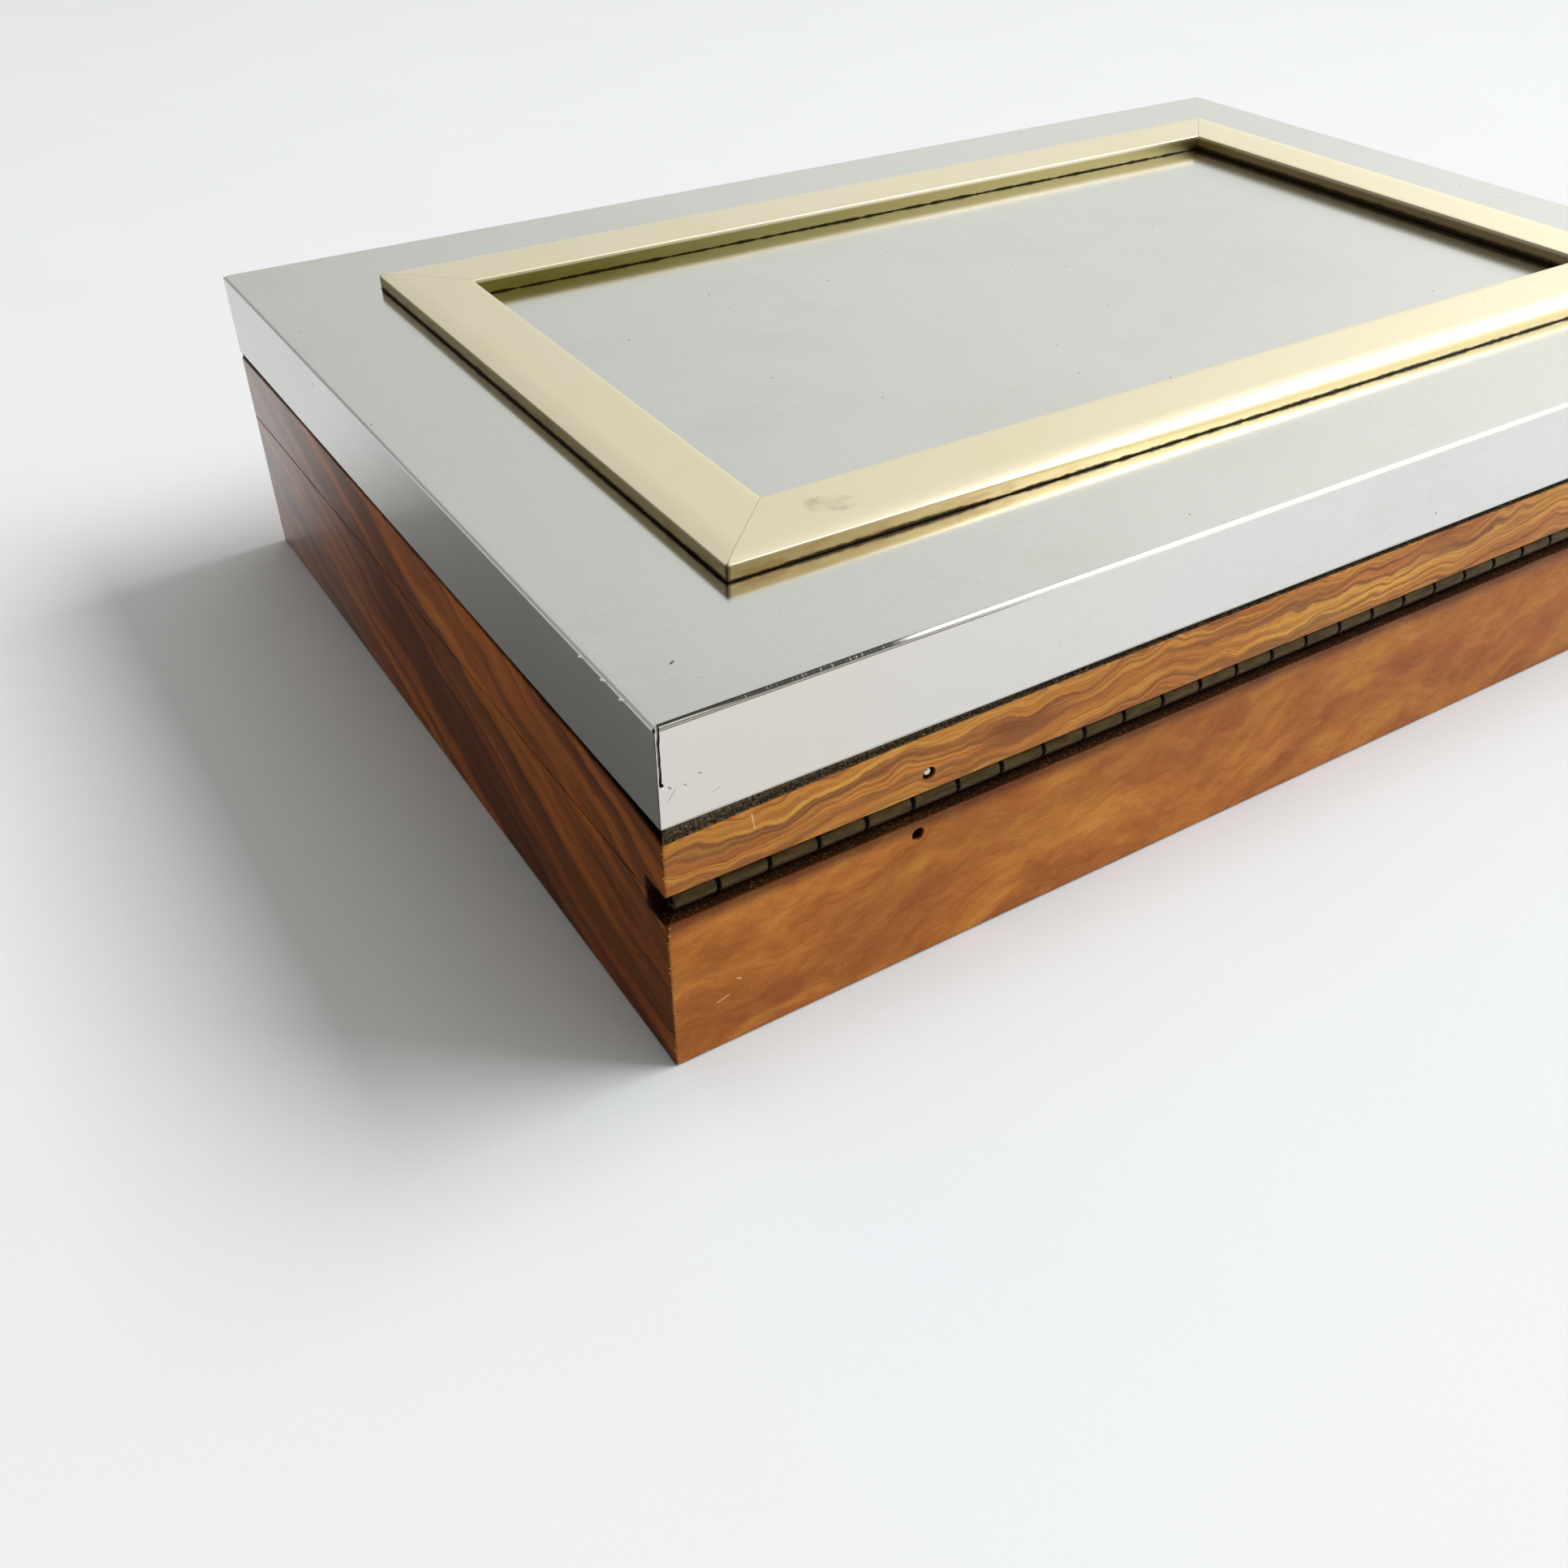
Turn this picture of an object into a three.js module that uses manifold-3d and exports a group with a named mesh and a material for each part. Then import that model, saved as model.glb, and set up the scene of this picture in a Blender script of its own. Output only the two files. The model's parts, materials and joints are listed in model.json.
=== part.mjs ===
// Hinged wooden table box. The lid wears a folded metal cover, and a mitred brass frame lies on top of it.
// Millimetres, +Z up. X runs along the length, the hinge is at +Y, and the origin is the middle of the underside.

import * as THREE from 'three';
import { mergeVertices } from 'three/addons/utils/BufferGeometryUtils.js';
import Module from 'manifold-3d';

const wasm = await Module();
wasm.setup();

// Wooden body
const LENGTH = 270; // outside, along X
const WIDTH = 184; // outside, along Y
const BASE_HEIGHT = 30; // table to the top edge of the base
const LID_HEIGHT = 29.8; // lower edge of the lid to the top of its metal cover
const JOINT_GAP = 0.2; // between the closed lid and the base
const WALL = 10; // walls of the base and rails of the lid
const FLOOR_THICKNESS = 5;
const FLOOR_LAP = 5; // reach of the floor into the walls
const BOARD_THICKNESS = 6; // board under the metal cover
const BOARD_LAP = 5; // reach of that board into the rails
const GLUE_GAP = 0.05; // at every glued face

// Folded metal cover
const SHEET = 1;
const SKIRT = 15.8; // height of the folded sides
const SKIRT_GAP = 1.1; // shadow gap between a skirt and the wooden ledge below it
const COVER_CLEARANCE = 0.1; // between a skirt and the rail behind it
const BEND_RADIUS = 0.75; // outside of the folds
const BEND_STEPS = 3; // flats that make a fold round
const SEAM = 0.25; // open seam at each upright corner
const SEAM_REACH = 4; // length of the cut that makes a seam, across the corner

// Brass frame
const FRAME_INSET = 24.5; // edge of the cover to the frame
const BAR_WIDTH = 14;
const BAR_HEIGHT = 3.2;
const BAR_EASING = 0.4; // small chamfer along the upper edges

// Piano hinge
const HINGE_SETBACK = 2.4; // back face to the axis
const HINGE_MARGIN = 1.9; // end of the box to the first knuckle
const PIN_DIAMETER = 1.6;
const PIN_CLEARANCE = 0.08; // round the pin
const PIN_INSET = 0.3; // the pin stops short of the end knuckles' outer faces
const LEAF_THICKNESS = 0.7;
const LEAF_REACH = 8; // axis to the far edge of a leaf
const LEAF_CLEARANCE = 0.1; // round a leaf in its saw kerf
const FIRST_KNUCKLE = 6.66; // the strip was cut to length within a knuckle
const KNUCKLE_PITCH = 8.04;
const KNUCKLE_GAP = 0.45;
const SHORTEST_KNUCKLE = 1.5; // a shorter rest stays part of its neighbour
const KNUCKLE_CLEARANCE = 0.4; // barrel to the edge of the other leaf
const GROOVE_CLEARANCE = 1; // barrel to the wood of its groove

// Brads through the hinge leaves
const BRAD_DIAMETER = 1.8;
const BRAD_LENGTH = 8;
const BRAD_CLEARANCE = 0.1;
const LID_BRAD_FROM_END = 42.4;
const LID_BRAD_RISE = 5.8; // axis up to the brad
const LID_BRAD_SINK = 0.3; // back face to the brad
const BASE_BRAD_FROM_END = 41.2;
const BASE_BRAD_DROP = 4.8; // axis down to the brad
const BASE_BRAD_SINK = 1.2;

// Countersunk screws that hold the frame from inside the lid
const SCREW_FROM_CORNER = 30; // outer corner of the frame to the screw, along the bar
const SCREW_DIAMETER = 3;
const SCREW_HEAD_DIAMETER = 6;
const SCREW_HEAD_HEIGHT = 1.7;
const SCREW_BITE = 2; // depth of the thread in the bar
const SCREW_CLEARANCE = 0.1;

// Making
const ROUND = 12; // sides of a round piece
const CUT_MARGIN = 2; // how far a cutting tool stands proud of what it cuts

// Levels and places that follow from the sizes above
const LID_BOTTOM = BASE_HEIGHT + JOINT_GAP;
const COVER_TOP = LID_BOTTOM + LID_HEIGHT;
const BOARD_TOP = COVER_TOP - SHEET - GLUE_GAP;
const BOARD_BOTTOM = BOARD_TOP - BOARD_THICKNESS;
const SKIRT_BOTTOM = COVER_TOP - SKIRT;
const LEDGE = SKIRT_BOTTOM - SKIRT_GAP;
const FRAME_BOTTOM = COVER_TOP + GLUE_GAP;
const SCREW_LENGTH = FRAME_BOTTOM + SCREW_BITE - BOARD_BOTTOM;
const HINGE_LENGTH = LENGTH - 2 * HINGE_MARGIN;
const BORE_RADIUS = PIN_DIAMETER / 2 + PIN_CLEARANCE;
const BARREL_RADIUS = BORE_RADIUS + LEAF_THICKNESS;
const GROOVE_RADIUS = BARREL_RADIUS + GROOVE_CLEARANCE;
const AXIS_Y = WIDTH / 2 - HINGE_SETBACK;
const AXIS_Z = BASE_HEIGHT + JOINT_GAP / 2;

// The four sides. Right and left are those of a person who faces the front.
const SIDES = [
  { name: 'back', turn: 0, length: LENGTH, span: WIDTH, wood: 'longWood', meetsHinge: true },
  { name: 'right', turn: -Math.PI / 2, length: WIDTH, span: LENGTH, wood: 'shortWood', meetsHinge: true },
  { name: 'front', turn: Math.PI, length: LENGTH, span: WIDTH, wood: 'longWood', meetsHinge: false },
  { name: 'left', turn: Math.PI / 2, length: WIDTH, span: LENGTH, wood: 'shortWood', meetsHinge: true },
];

const FINISHES = {
  longWood: { color: 0xb07138, roughness: 0.45, metalness: 0 },
  shortWood: { color: 0x7a4522, roughness: 0.45, metalness: 0 },
  innerWood: { color: 0x9a6a3c, roughness: 0.6, metalness: 0 },
  cover: { color: 0xcfcfcb, roughness: 0.12, metalness: 1 },
  brass: { color: 0xd8c17c, roughness: 0.22, metalness: 1 },
  agedBrass: { color: 0x6a5a38, roughness: 0.45, metalness: 1 },
  steel: { color: 0x8d8a84, roughness: 0.4, metalness: 1 },
};

// Closed solids from geometries, and back
function toSolid(geometry) {
  const bare = geometry.clone();
  bare.deleteAttribute('normal');
  bare.deleteAttribute('uv');
  const merged = mergeVertices(bare);
  const vertProperties = Float32Array.from(merged.getAttribute('position').array);
  const triVerts = Uint32Array.from(merged.getIndex().array);
  return new wasm.Manifold(new wasm.Mesh({ numProp: 3, vertProperties, triVerts }));
}

function toGeometry(solid) {
  const { vertProperties, triVerts } = solid.getMesh();
  const geometry = new THREE.BufferGeometry();
  geometry.setAttribute('position', new THREE.BufferAttribute(vertProperties, 3));
  geometry.setIndex(new THREE.BufferAttribute(triVerts, 1));
  geometry.computeVertexNormals();
  return geometry;
}

function carve(geometry, tools) {
  return toGeometry(tools.reduce((solid, tool) => solid.subtract(toSolid(tool)), toSolid(geometry)));
}

// Basic forms
function block(x0, x1, y0, y1, z0, z1) {
  const geometry = new THREE.BoxGeometry(x1 - x0, y1 - y0, z1 - z0);
  return geometry.translate((x0 + x1) / 2, (y0 + y1) / 2, (z0 + z1) / 2);
}

function plate(lengthX, widthY, z0, z1) {
  return block(-lengthX / 2, lengthX / 2, -widthY / 2, widthY / 2, z0, z1);
}

// A section drawn in Y and Z, drawn out along X
function alongX(section, x0, x1) {
  const depth = x1 - x0;
  const geometry = new THREE.ExtrudeGeometry(section, { depth, bevelEnabled: false, curveSegments: ROUND / 2 });
  const axes = new THREE.Matrix4().makeBasis(
    new THREE.Vector3(0, 1, 0),
    new THREE.Vector3(0, 0, 1),
    new THREE.Vector3(1, 0, 0),
  );
  return geometry.applyMatrix4(axes).translate(x0, 0, 0);
}

// A rod on the hinge axis
function hingeRod(radius, x0, x1) {
  const section = new THREE.Shape().absarc(AXIS_Y, AXIS_Z, radius, 0, 2 * Math.PI);
  return alongX(section, x0, x1);
}

// One of four mitred lengths round a rectangle. The section is drawn as depth from the outer face, and height.
function mitredLength(section, side, inset) {
  const half = side.length / 2 - inset;
  const face = side.span / 2 - inset;
  const profile = new THREE.Shape(section.map(([depth, height]) => new THREE.Vector2(face - depth, height)));
  const depths = section.map(([depth]) => depth);
  const heights = section.map(([, height]) => height);
  const shallow = Math.min(...depths) - CUT_MARGIN;
  const deep = Math.max(...depths) + CUT_MARGIN;
  const bottom = Math.min(...heights) - CUT_MARGIN;
  const top = Math.max(...heights) + CUT_MARGIN;
  const end = half - GLUE_GAP / 2;
  const plan = new THREE.Shape([
    new THREE.Vector2(-end + shallow, face - shallow),
    new THREE.Vector2(-end + deep, face - deep),
    new THREE.Vector2(end - deep, face - deep),
    new THREE.Vector2(end - shallow, face - shallow),
  ]);
  const mitres = new THREE.ExtrudeGeometry(plan, { depth: top - bottom, bevelEnabled: false });
  mitres.translate(0, 0, bottom);
  const length = toSolid(alongX(profile, -half, half)).intersect(toSolid(mitres));
  return toGeometry(length).rotateZ(side.turn);
}

// Hinge: knuckle places along X, from the right end to the left
function knuckleSpans() {
  const left = -HINGE_LENGTH / 2;
  const cuts = [HINGE_LENGTH / 2];
  let next = cuts[0] - FIRST_KNUCKLE;
  while (next - KNUCKLE_GAP - SHORTEST_KNUCKLE > left) {
    cuts.push(next);
    next -= KNUCKLE_PITCH;
  }
  cuts.push(left);
  const lastCut = cuts.length - 1;
  const share = (index) => (index === 0 || index === lastCut ? 0 : KNUCKLE_GAP / 2);
  return cuts.slice(1).map((cut, index) => [cut + share(index + 1), cuts[index] - share(index)]);
}

// A flat length of leaf, between two heights above or below the axis
function leafStrip(from, to, x0, x1) {
  const inner = AXIS_Y - BARREL_RADIUS;
  const low = AXIS_Z + Math.min(from, to);
  const high = AXIS_Z + Math.max(from, to);
  return block(x0, x1, inner, inner + LEAF_THICKNESS, low, high);
}

// A leaf with its rolled knuckles. Up is 1 for the lid's leaf and -1 for the base's.
function hingeLeaf(up, spans, brads) {
  const edge = up * (BARREL_RADIUS + KNUCKLE_CLEARANCE);
  const half = HINGE_LENGTH / 2;
  let leaf = toSolid(leafStrip(edge, up * LEAF_REACH, -half, half));
  for (const [x0, x1] of spans) {
    const root = leafStrip(0, edge + up * LEAF_THICKNESS, x0, x1);
    leaf = leaf.add(toSolid(root)).add(toSolid(hingeRod(BARREL_RADIUS, x0, x1)));
  }
  leaf = leaf.subtract(toSolid(hingeRod(BORE_RADIUS, -half - CUT_MARGIN, half + CUT_MARGIN)));
  return carve(toGeometry(leaf), brads.map(bradHole));
}

// What the hinge takes out of the wood: its round-nosed groove and the saw kerf for the leaves
function hingeTools() {
  const half = LENGTH / 2 + CUT_MARGIN;
  const mouth = WIDTH / 2 + CUT_MARGIN;
  const groove = new THREE.Shape();
  groove.moveTo(mouth, AXIS_Z - GROOVE_RADIUS);
  groove.lineTo(mouth, AXIS_Z + GROOVE_RADIUS);
  groove.lineTo(AXIS_Y, AXIS_Z + GROOVE_RADIUS);
  groove.absarc(AXIS_Y, AXIS_Z, GROOVE_RADIUS, Math.PI / 2, (3 * Math.PI) / 2);
  const inner = AXIS_Y - BARREL_RADIUS;
  const end = HINGE_LENGTH / 2 + LEAF_CLEARANCE;
  const reach = LEAF_REACH + LEAF_CLEARANCE;
  const near = inner - LEAF_CLEARANCE;
  const far = inner + LEAF_THICKNESS + LEAF_CLEARANCE;
  return [alongX(groove, -half, half), block(-end, end, near, far, AXIS_Z - reach, AXIS_Z + reach)];
}

// Brads, driven in from the back
function bradPair(fromEnd, rise, sink) {
  return [1, -1].map((end) => ({ x: end * (LENGTH / 2 - fromEnd), z: AXIS_Z + rise, sink }));
}

function brad({ x, z, sink }) {
  const shank = new THREE.CylinderGeometry(BRAD_DIAMETER / 2, BRAD_DIAMETER / 2, BRAD_LENGTH, ROUND);
  return shank.translate(x, WIDTH / 2 - sink - BRAD_LENGTH / 2, z);
}

function bradHole({ x, z, sink }) {
  const radius = BRAD_DIAMETER / 2 + BRAD_CLEARANCE;
  const depth = sink + BRAD_LENGTH + BRAD_CLEARANCE + CUT_MARGIN;
  const hole = new THREE.CylinderGeometry(radius, radius, depth, ROUND);
  return hole.translate(x, WIDTH / 2 + CUT_MARGIN - depth / 2, z);
}

// Frame screws, two to a bar, with their heads flush in the underside of the lid board
function screwPlaces() {
  return SIDES.flatMap(({ name, turn, length, span }) => {
    const along = length / 2 - FRAME_INSET - SCREW_FROM_CORNER;
    const across = span / 2 - FRAME_INSET - BAR_WIDTH / 2;
    return [along, -along].map((x, index) => ({ name: `${name}_${index + 1}`, turn, x, y: across }));
  });
}

function turnedScrew(place, profile) {
  const points = profile.map(([radius, height]) => new THREE.Vector2(radius, height));
  const body = new THREE.LatheGeometry(points, ROUND).rotateX(Math.PI / 2);
  return body.translate(place.x, place.y, BOARD_BOTTOM).rotateZ(place.turn);
}

function screw(place) {
  return turnedScrew(place, [
    [0, 0],
    [SCREW_HEAD_DIAMETER / 2, 0],
    [SCREW_DIAMETER / 2, SCREW_HEAD_HEIGHT],
    [SCREW_DIAMETER / 2, SCREW_LENGTH],
    [0, SCREW_LENGTH],
  ]);
}

function screwHole(place) {
  const headRadius = SCREW_HEAD_DIAMETER / 2 + SCREW_CLEARANCE;
  const radius = SCREW_DIAMETER / 2 + SCREW_CLEARANCE;
  return turnedScrew(place, [
    [0, -CUT_MARGIN],
    [headRadius, -CUT_MARGIN],
    [headRadius, 0],
    [radius, SCREW_HEAD_HEIGHT],
    [radius, SCREW_LENGTH + SCREW_CLEARANCE],
    [0, SCREW_LENGTH + SCREW_CLEARANCE],
  ]);
}

// Sections of the mitred pieces: depth from the outer face, and height
const WALL_SECTION = [
  [0, 0],
  [WALL - FLOOR_LAP, 0],
  [WALL - FLOOR_LAP, FLOOR_THICKNESS + GLUE_GAP],
  [WALL, FLOOR_THICKNESS + GLUE_GAP],
  [WALL, BASE_HEIGHT],
  [0, BASE_HEIGHT],
];

const RAIL_SECTION = [
  [0, LID_BOTTOM],
  [WALL, LID_BOTTOM],
  [WALL, BOARD_BOTTOM - GLUE_GAP],
  [WALL - BOARD_LAP, BOARD_BOTTOM - GLUE_GAP],
  [WALL - BOARD_LAP, BOARD_TOP],
  [SHEET + COVER_CLEARANCE, BOARD_TOP],
  [SHEET + COVER_CLEARANCE, LEDGE],
  [0, LEDGE],
];

const BAR_SECTION = [
  [0, FRAME_BOTTOM],
  [BAR_WIDTH, FRAME_BOTTOM],
  [BAR_WIDTH, FRAME_BOTTOM + BAR_HEIGHT - BAR_EASING],
  [BAR_WIDTH - BAR_EASING, FRAME_BOTTOM + BAR_HEIGHT],
  [BAR_EASING, FRAME_BOTTOM + BAR_HEIGHT],
  [0, FRAME_BOTTOM + BAR_HEIGHT - BAR_EASING],
];

// Cover: a shallow pan with rounded folds, open below, with its corners slit
function coverSeam(signX, signY) {
  const height = SKIRT + CUT_MARGIN - BEND_RADIUS;
  const slit = new THREE.BoxGeometry(SEAM_REACH, SEAM, height);
  slit.rotateZ((signX * signY * Math.PI) / 4);
  return slit.translate((signX * LENGTH) / 2, (signY * WIDTH) / 2, COVER_TOP - BEND_RADIUS - height / 2);
}

function cover(screws) {
  const outline = new THREE.Shape([
    new THREE.Vector2(-LENGTH / 2, -WIDTH / 2),
    new THREE.Vector2(LENGTH / 2, -WIDTH / 2),
    new THREE.Vector2(LENGTH / 2, WIDTH / 2),
    new THREE.Vector2(-LENGTH / 2, WIDTH / 2),
  ]);
  const pan = new THREE.ExtrudeGeometry(outline, {
    depth: SKIRT,
    bevelThickness: BEND_RADIUS,
    bevelSize: BEND_RADIUS,
    bevelOffset: -BEND_RADIUS,
    bevelSegments: BEND_STEPS,
  });
  pan.translate(0, 0, COVER_TOP - BEND_RADIUS - SKIRT);
  const below = SKIRT_BOTTOM - SKIRT;
  const waste = plate(LENGTH + CUT_MARGIN, WIDTH + CUT_MARGIN, below, SKIRT_BOTTOM);
  const inside = plate(LENGTH - 2 * SHEET, WIDTH - 2 * SHEET, below, COVER_TOP - SHEET);
  const seams = [1, -1].flatMap((signX) => [1, -1].map((signY) => coverSeam(signX, signY)));
  return carve(pan, [waste, inside, ...seams, ...screws.map(screwHole)]);
}

// Assembly
const tableBox = new THREE.Group();
const base = new THREE.Group();
const lid = new THREE.Group();
tableBox.add(base, lid);

function addPiece(group, name, geometry, finish) {
  const piece = new THREE.Mesh(geometry, new THREE.MeshStandardMaterial(FINISHES[finish]));
  piece.name = name;
  group.add(piece);
}

const spans = knuckleSpans();
const lidBrads = bradPair(LID_BRAD_FROM_END, LID_BRAD_RISE, LID_BRAD_SINK);
const baseBrads = bradPair(BASE_BRAD_FROM_END, -BASE_BRAD_DROP, BASE_BRAD_SINK);
const screws = screwPlaces();
const hingeCuts = [...hingeTools(), ...[...lidBrads, ...baseBrads].map(bradHole)];

for (const side of SIDES) {
  const cuts = side.meetsHinge ? hingeCuts : [];
  addPiece(base, `base_${side.name}_wall`, carve(mitredLength(WALL_SECTION, side, 0), cuts), side.wood);
  addPiece(lid, `lid_${side.name}_rail`, carve(mitredLength(RAIL_SECTION, side, 0), cuts), side.wood);
}

const floorInset = WALL - FLOOR_LAP + GLUE_GAP;
const floor = plate(LENGTH - 2 * floorInset, WIDTH - 2 * floorInset, 0, FLOOR_THICKNESS);
addPiece(base, 'base_floor', floor, 'innerWood');

const boardInset = WALL - BOARD_LAP + GLUE_GAP;
const board = plate(LENGTH - 2 * boardInset, WIDTH - 2 * boardInset, BOARD_BOTTOM, BOARD_TOP);
addPiece(lid, 'lid_board', carve(board, screws.map(screwHole)), 'innerWood');
addPiece(lid, 'lid_cover', cover(screws), 'cover');

for (const side of SIDES) {
  const bar = mitredLength(BAR_SECTION, side, FRAME_INSET);
  const holes = screws.filter(({ name }) => name.startsWith(side.name)).map(screwHole);
  addPiece(lid, `frame_${side.name}_bar`, carve(bar, holes), 'brass');
}
for (const place of screws) {
  addPiece(lid, `frame_screw_${place.name}`, screw(place), 'steel');
}

const lidSpans = spans.filter((span, index) => index % 2 === 0);
const baseSpans = spans.filter((span, index) => index % 2 === 1);
addPiece(lid, 'hinge_lid_leaf', hingeLeaf(1, lidSpans, lidBrads), 'agedBrass');
addPiece(base, 'hinge_base_leaf', hingeLeaf(-1, baseSpans, baseBrads), 'agedBrass');
const pinHalf = HINGE_LENGTH / 2 - PIN_INSET;
addPiece(base, 'hinge_pin', hingeRod(PIN_DIAMETER / 2, -pinHalf, pinHalf), 'agedBrass');
lidBrads.forEach((place, index) => addPiece(lid, `hinge_lid_brad_${index + 1}`, brad(place), 'steel'));
baseBrads.forEach((place, index) => addPiece(base, `hinge_base_brad_${index + 1}`, brad(place), 'steel'));

export default tableBox;
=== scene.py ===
"""Hinged wooden table box with a folded metal cover on its lid and a mitred brass frame on top.

Sizes are in millimetres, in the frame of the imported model: X along the length, the hinge at +Y
and Z up from the table.
"""

import json
import logging
import math
from dataclasses import dataclass
from enum import Enum
from functools import cached_property
from typing import Callable, Optional, Sequence, Union

import bmesh
import bpy
from mathutils import Matrix, Vector, noise


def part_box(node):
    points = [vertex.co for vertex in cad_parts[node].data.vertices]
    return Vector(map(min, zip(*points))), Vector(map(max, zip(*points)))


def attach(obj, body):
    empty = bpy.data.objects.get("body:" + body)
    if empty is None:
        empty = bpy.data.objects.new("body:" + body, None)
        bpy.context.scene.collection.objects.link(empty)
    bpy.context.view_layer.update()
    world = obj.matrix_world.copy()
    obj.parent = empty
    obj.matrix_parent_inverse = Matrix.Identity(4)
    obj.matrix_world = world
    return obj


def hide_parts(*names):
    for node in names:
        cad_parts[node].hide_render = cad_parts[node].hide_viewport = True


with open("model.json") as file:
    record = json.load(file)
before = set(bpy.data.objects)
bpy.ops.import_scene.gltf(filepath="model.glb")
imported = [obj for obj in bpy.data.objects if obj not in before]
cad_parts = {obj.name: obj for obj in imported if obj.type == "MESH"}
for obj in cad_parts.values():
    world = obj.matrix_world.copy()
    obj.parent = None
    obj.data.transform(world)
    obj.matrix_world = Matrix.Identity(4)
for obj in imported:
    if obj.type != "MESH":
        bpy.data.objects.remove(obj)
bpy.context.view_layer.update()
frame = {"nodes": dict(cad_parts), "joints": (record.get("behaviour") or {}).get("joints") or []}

LOG = logging.getLogger("table_box")
MM = 0.001  # one millimetre in scene units

Point = tuple[float, float]  # two places on a face, or the depth and height of a section
Colour = tuple[float, float, float, float]
Piece = bpy.types.Object


def paint(code: str) -> Colour:
    """Turn a colour as it is seen on a screen into the linear colour of a shader.

    Args:
        code: Six hexadecimal digits, red, green and blue.

    Returns:
        The linear colour, opaque.
    """
    shares = [int(code[place:place + 2], 16) / 255 for place in (0, 2, 4)]
    linear = [s / 12.92 if s <= 0.04045 else ((s + 0.055) / 1.055) ** 2.4 for s in shares]
    return linear[0], linear[1], linear[2], 1.0


def grey(level: float) -> Colour:
    """A neutral linear colour."""
    return level, level, level, 1.0


def extent(node: str) -> tuple[Vector, Vector]:
    """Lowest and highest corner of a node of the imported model, in millimetres."""
    low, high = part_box(node)
    return low / MM, high / MM


def wobble(along: float, period: float, seed: float) -> float:
    """Smooth repeatable unevenness between -1 and 1 along a length."""
    return noise.noise(Vector((along / period, seed, 0.37)))


def ease(value: float, low: float, high: float) -> float:
    """Smooth step from 0 at the low value to 1 at the high value."""
    share = min(max((value - low) / (high - low), 0.0), 1.0)
    return share * share * (3 - 2 * share)


# Shader expressions

def math_node(operation: str, reflected: bool = False) -> Callable[..., "Value"]:
    """Make an operator that adds a Math node.

    Args:
        operation: The node's operation.
        reflected: True if the wrapped value comes second.

    Returns:
        A method of a wrapped value, which takes the other value.
    """
    def operate(value: "Value", other: "Number" = 0.0) -> "Value":
        """The result of the node."""
        first, second = (other, value) if reflected else (value, other)
        return value.shader.add("ShaderNodeMath", {"operation": operation}, {0: first, 1: second})

    return operate


class Value:
    """A socket in a node tree. Arithmetic on it adds Math nodes."""

    __add__ = __radd__ = math_node("ADD")
    __sub__ = math_node("SUBTRACT")
    __rsub__ = math_node("SUBTRACT", reflected=True)
    __mul__ = __rmul__ = math_node("MULTIPLY")
    __truediv__ = math_node("DIVIDE")
    __rtruediv__ = math_node("DIVIDE", reflected=True)
    __abs__ = math_node("ABSOLUTE")
    most = math_node("MAXIMUM")
    least = math_node("MINIMUM")
    swing = math_node("PINGPONG")  # a zigzag between 0 and the other value

    def __init__(self, shader: "Shader", socket: bpy.types.NodeSocket) -> None:
        """Wrap a socket of a shader."""
        self.shader = shader
        self.socket = socket

    def rise(self, low: float, high: float, start: float = 0.0, end: float = 1.0) -> "Value":
        """Smooth step from the start at the low value to the end at the high value."""
        sockets = {0: self, 1: low, 2: high, 3: start, 4: end}
        return self.shader.add("ShaderNodeMapRange", {"interpolation_type": "SMOOTHSTEP"}, sockets)

    def fall(self, low: float, high: float) -> "Value":
        """Smooth step from 1 at the low value to 0 at the high value."""
        return self.rise(low, high, 1.0, 0.0)


Number = Union[Value, float]
Paint = Union[Value, Colour]
Place = tuple[Number, Number, Number]


@dataclass(frozen=True)
class Mark:
    """A short straight mark on a face, by its two ends and its width."""

    start: Point
    end: Point
    width: float


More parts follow.
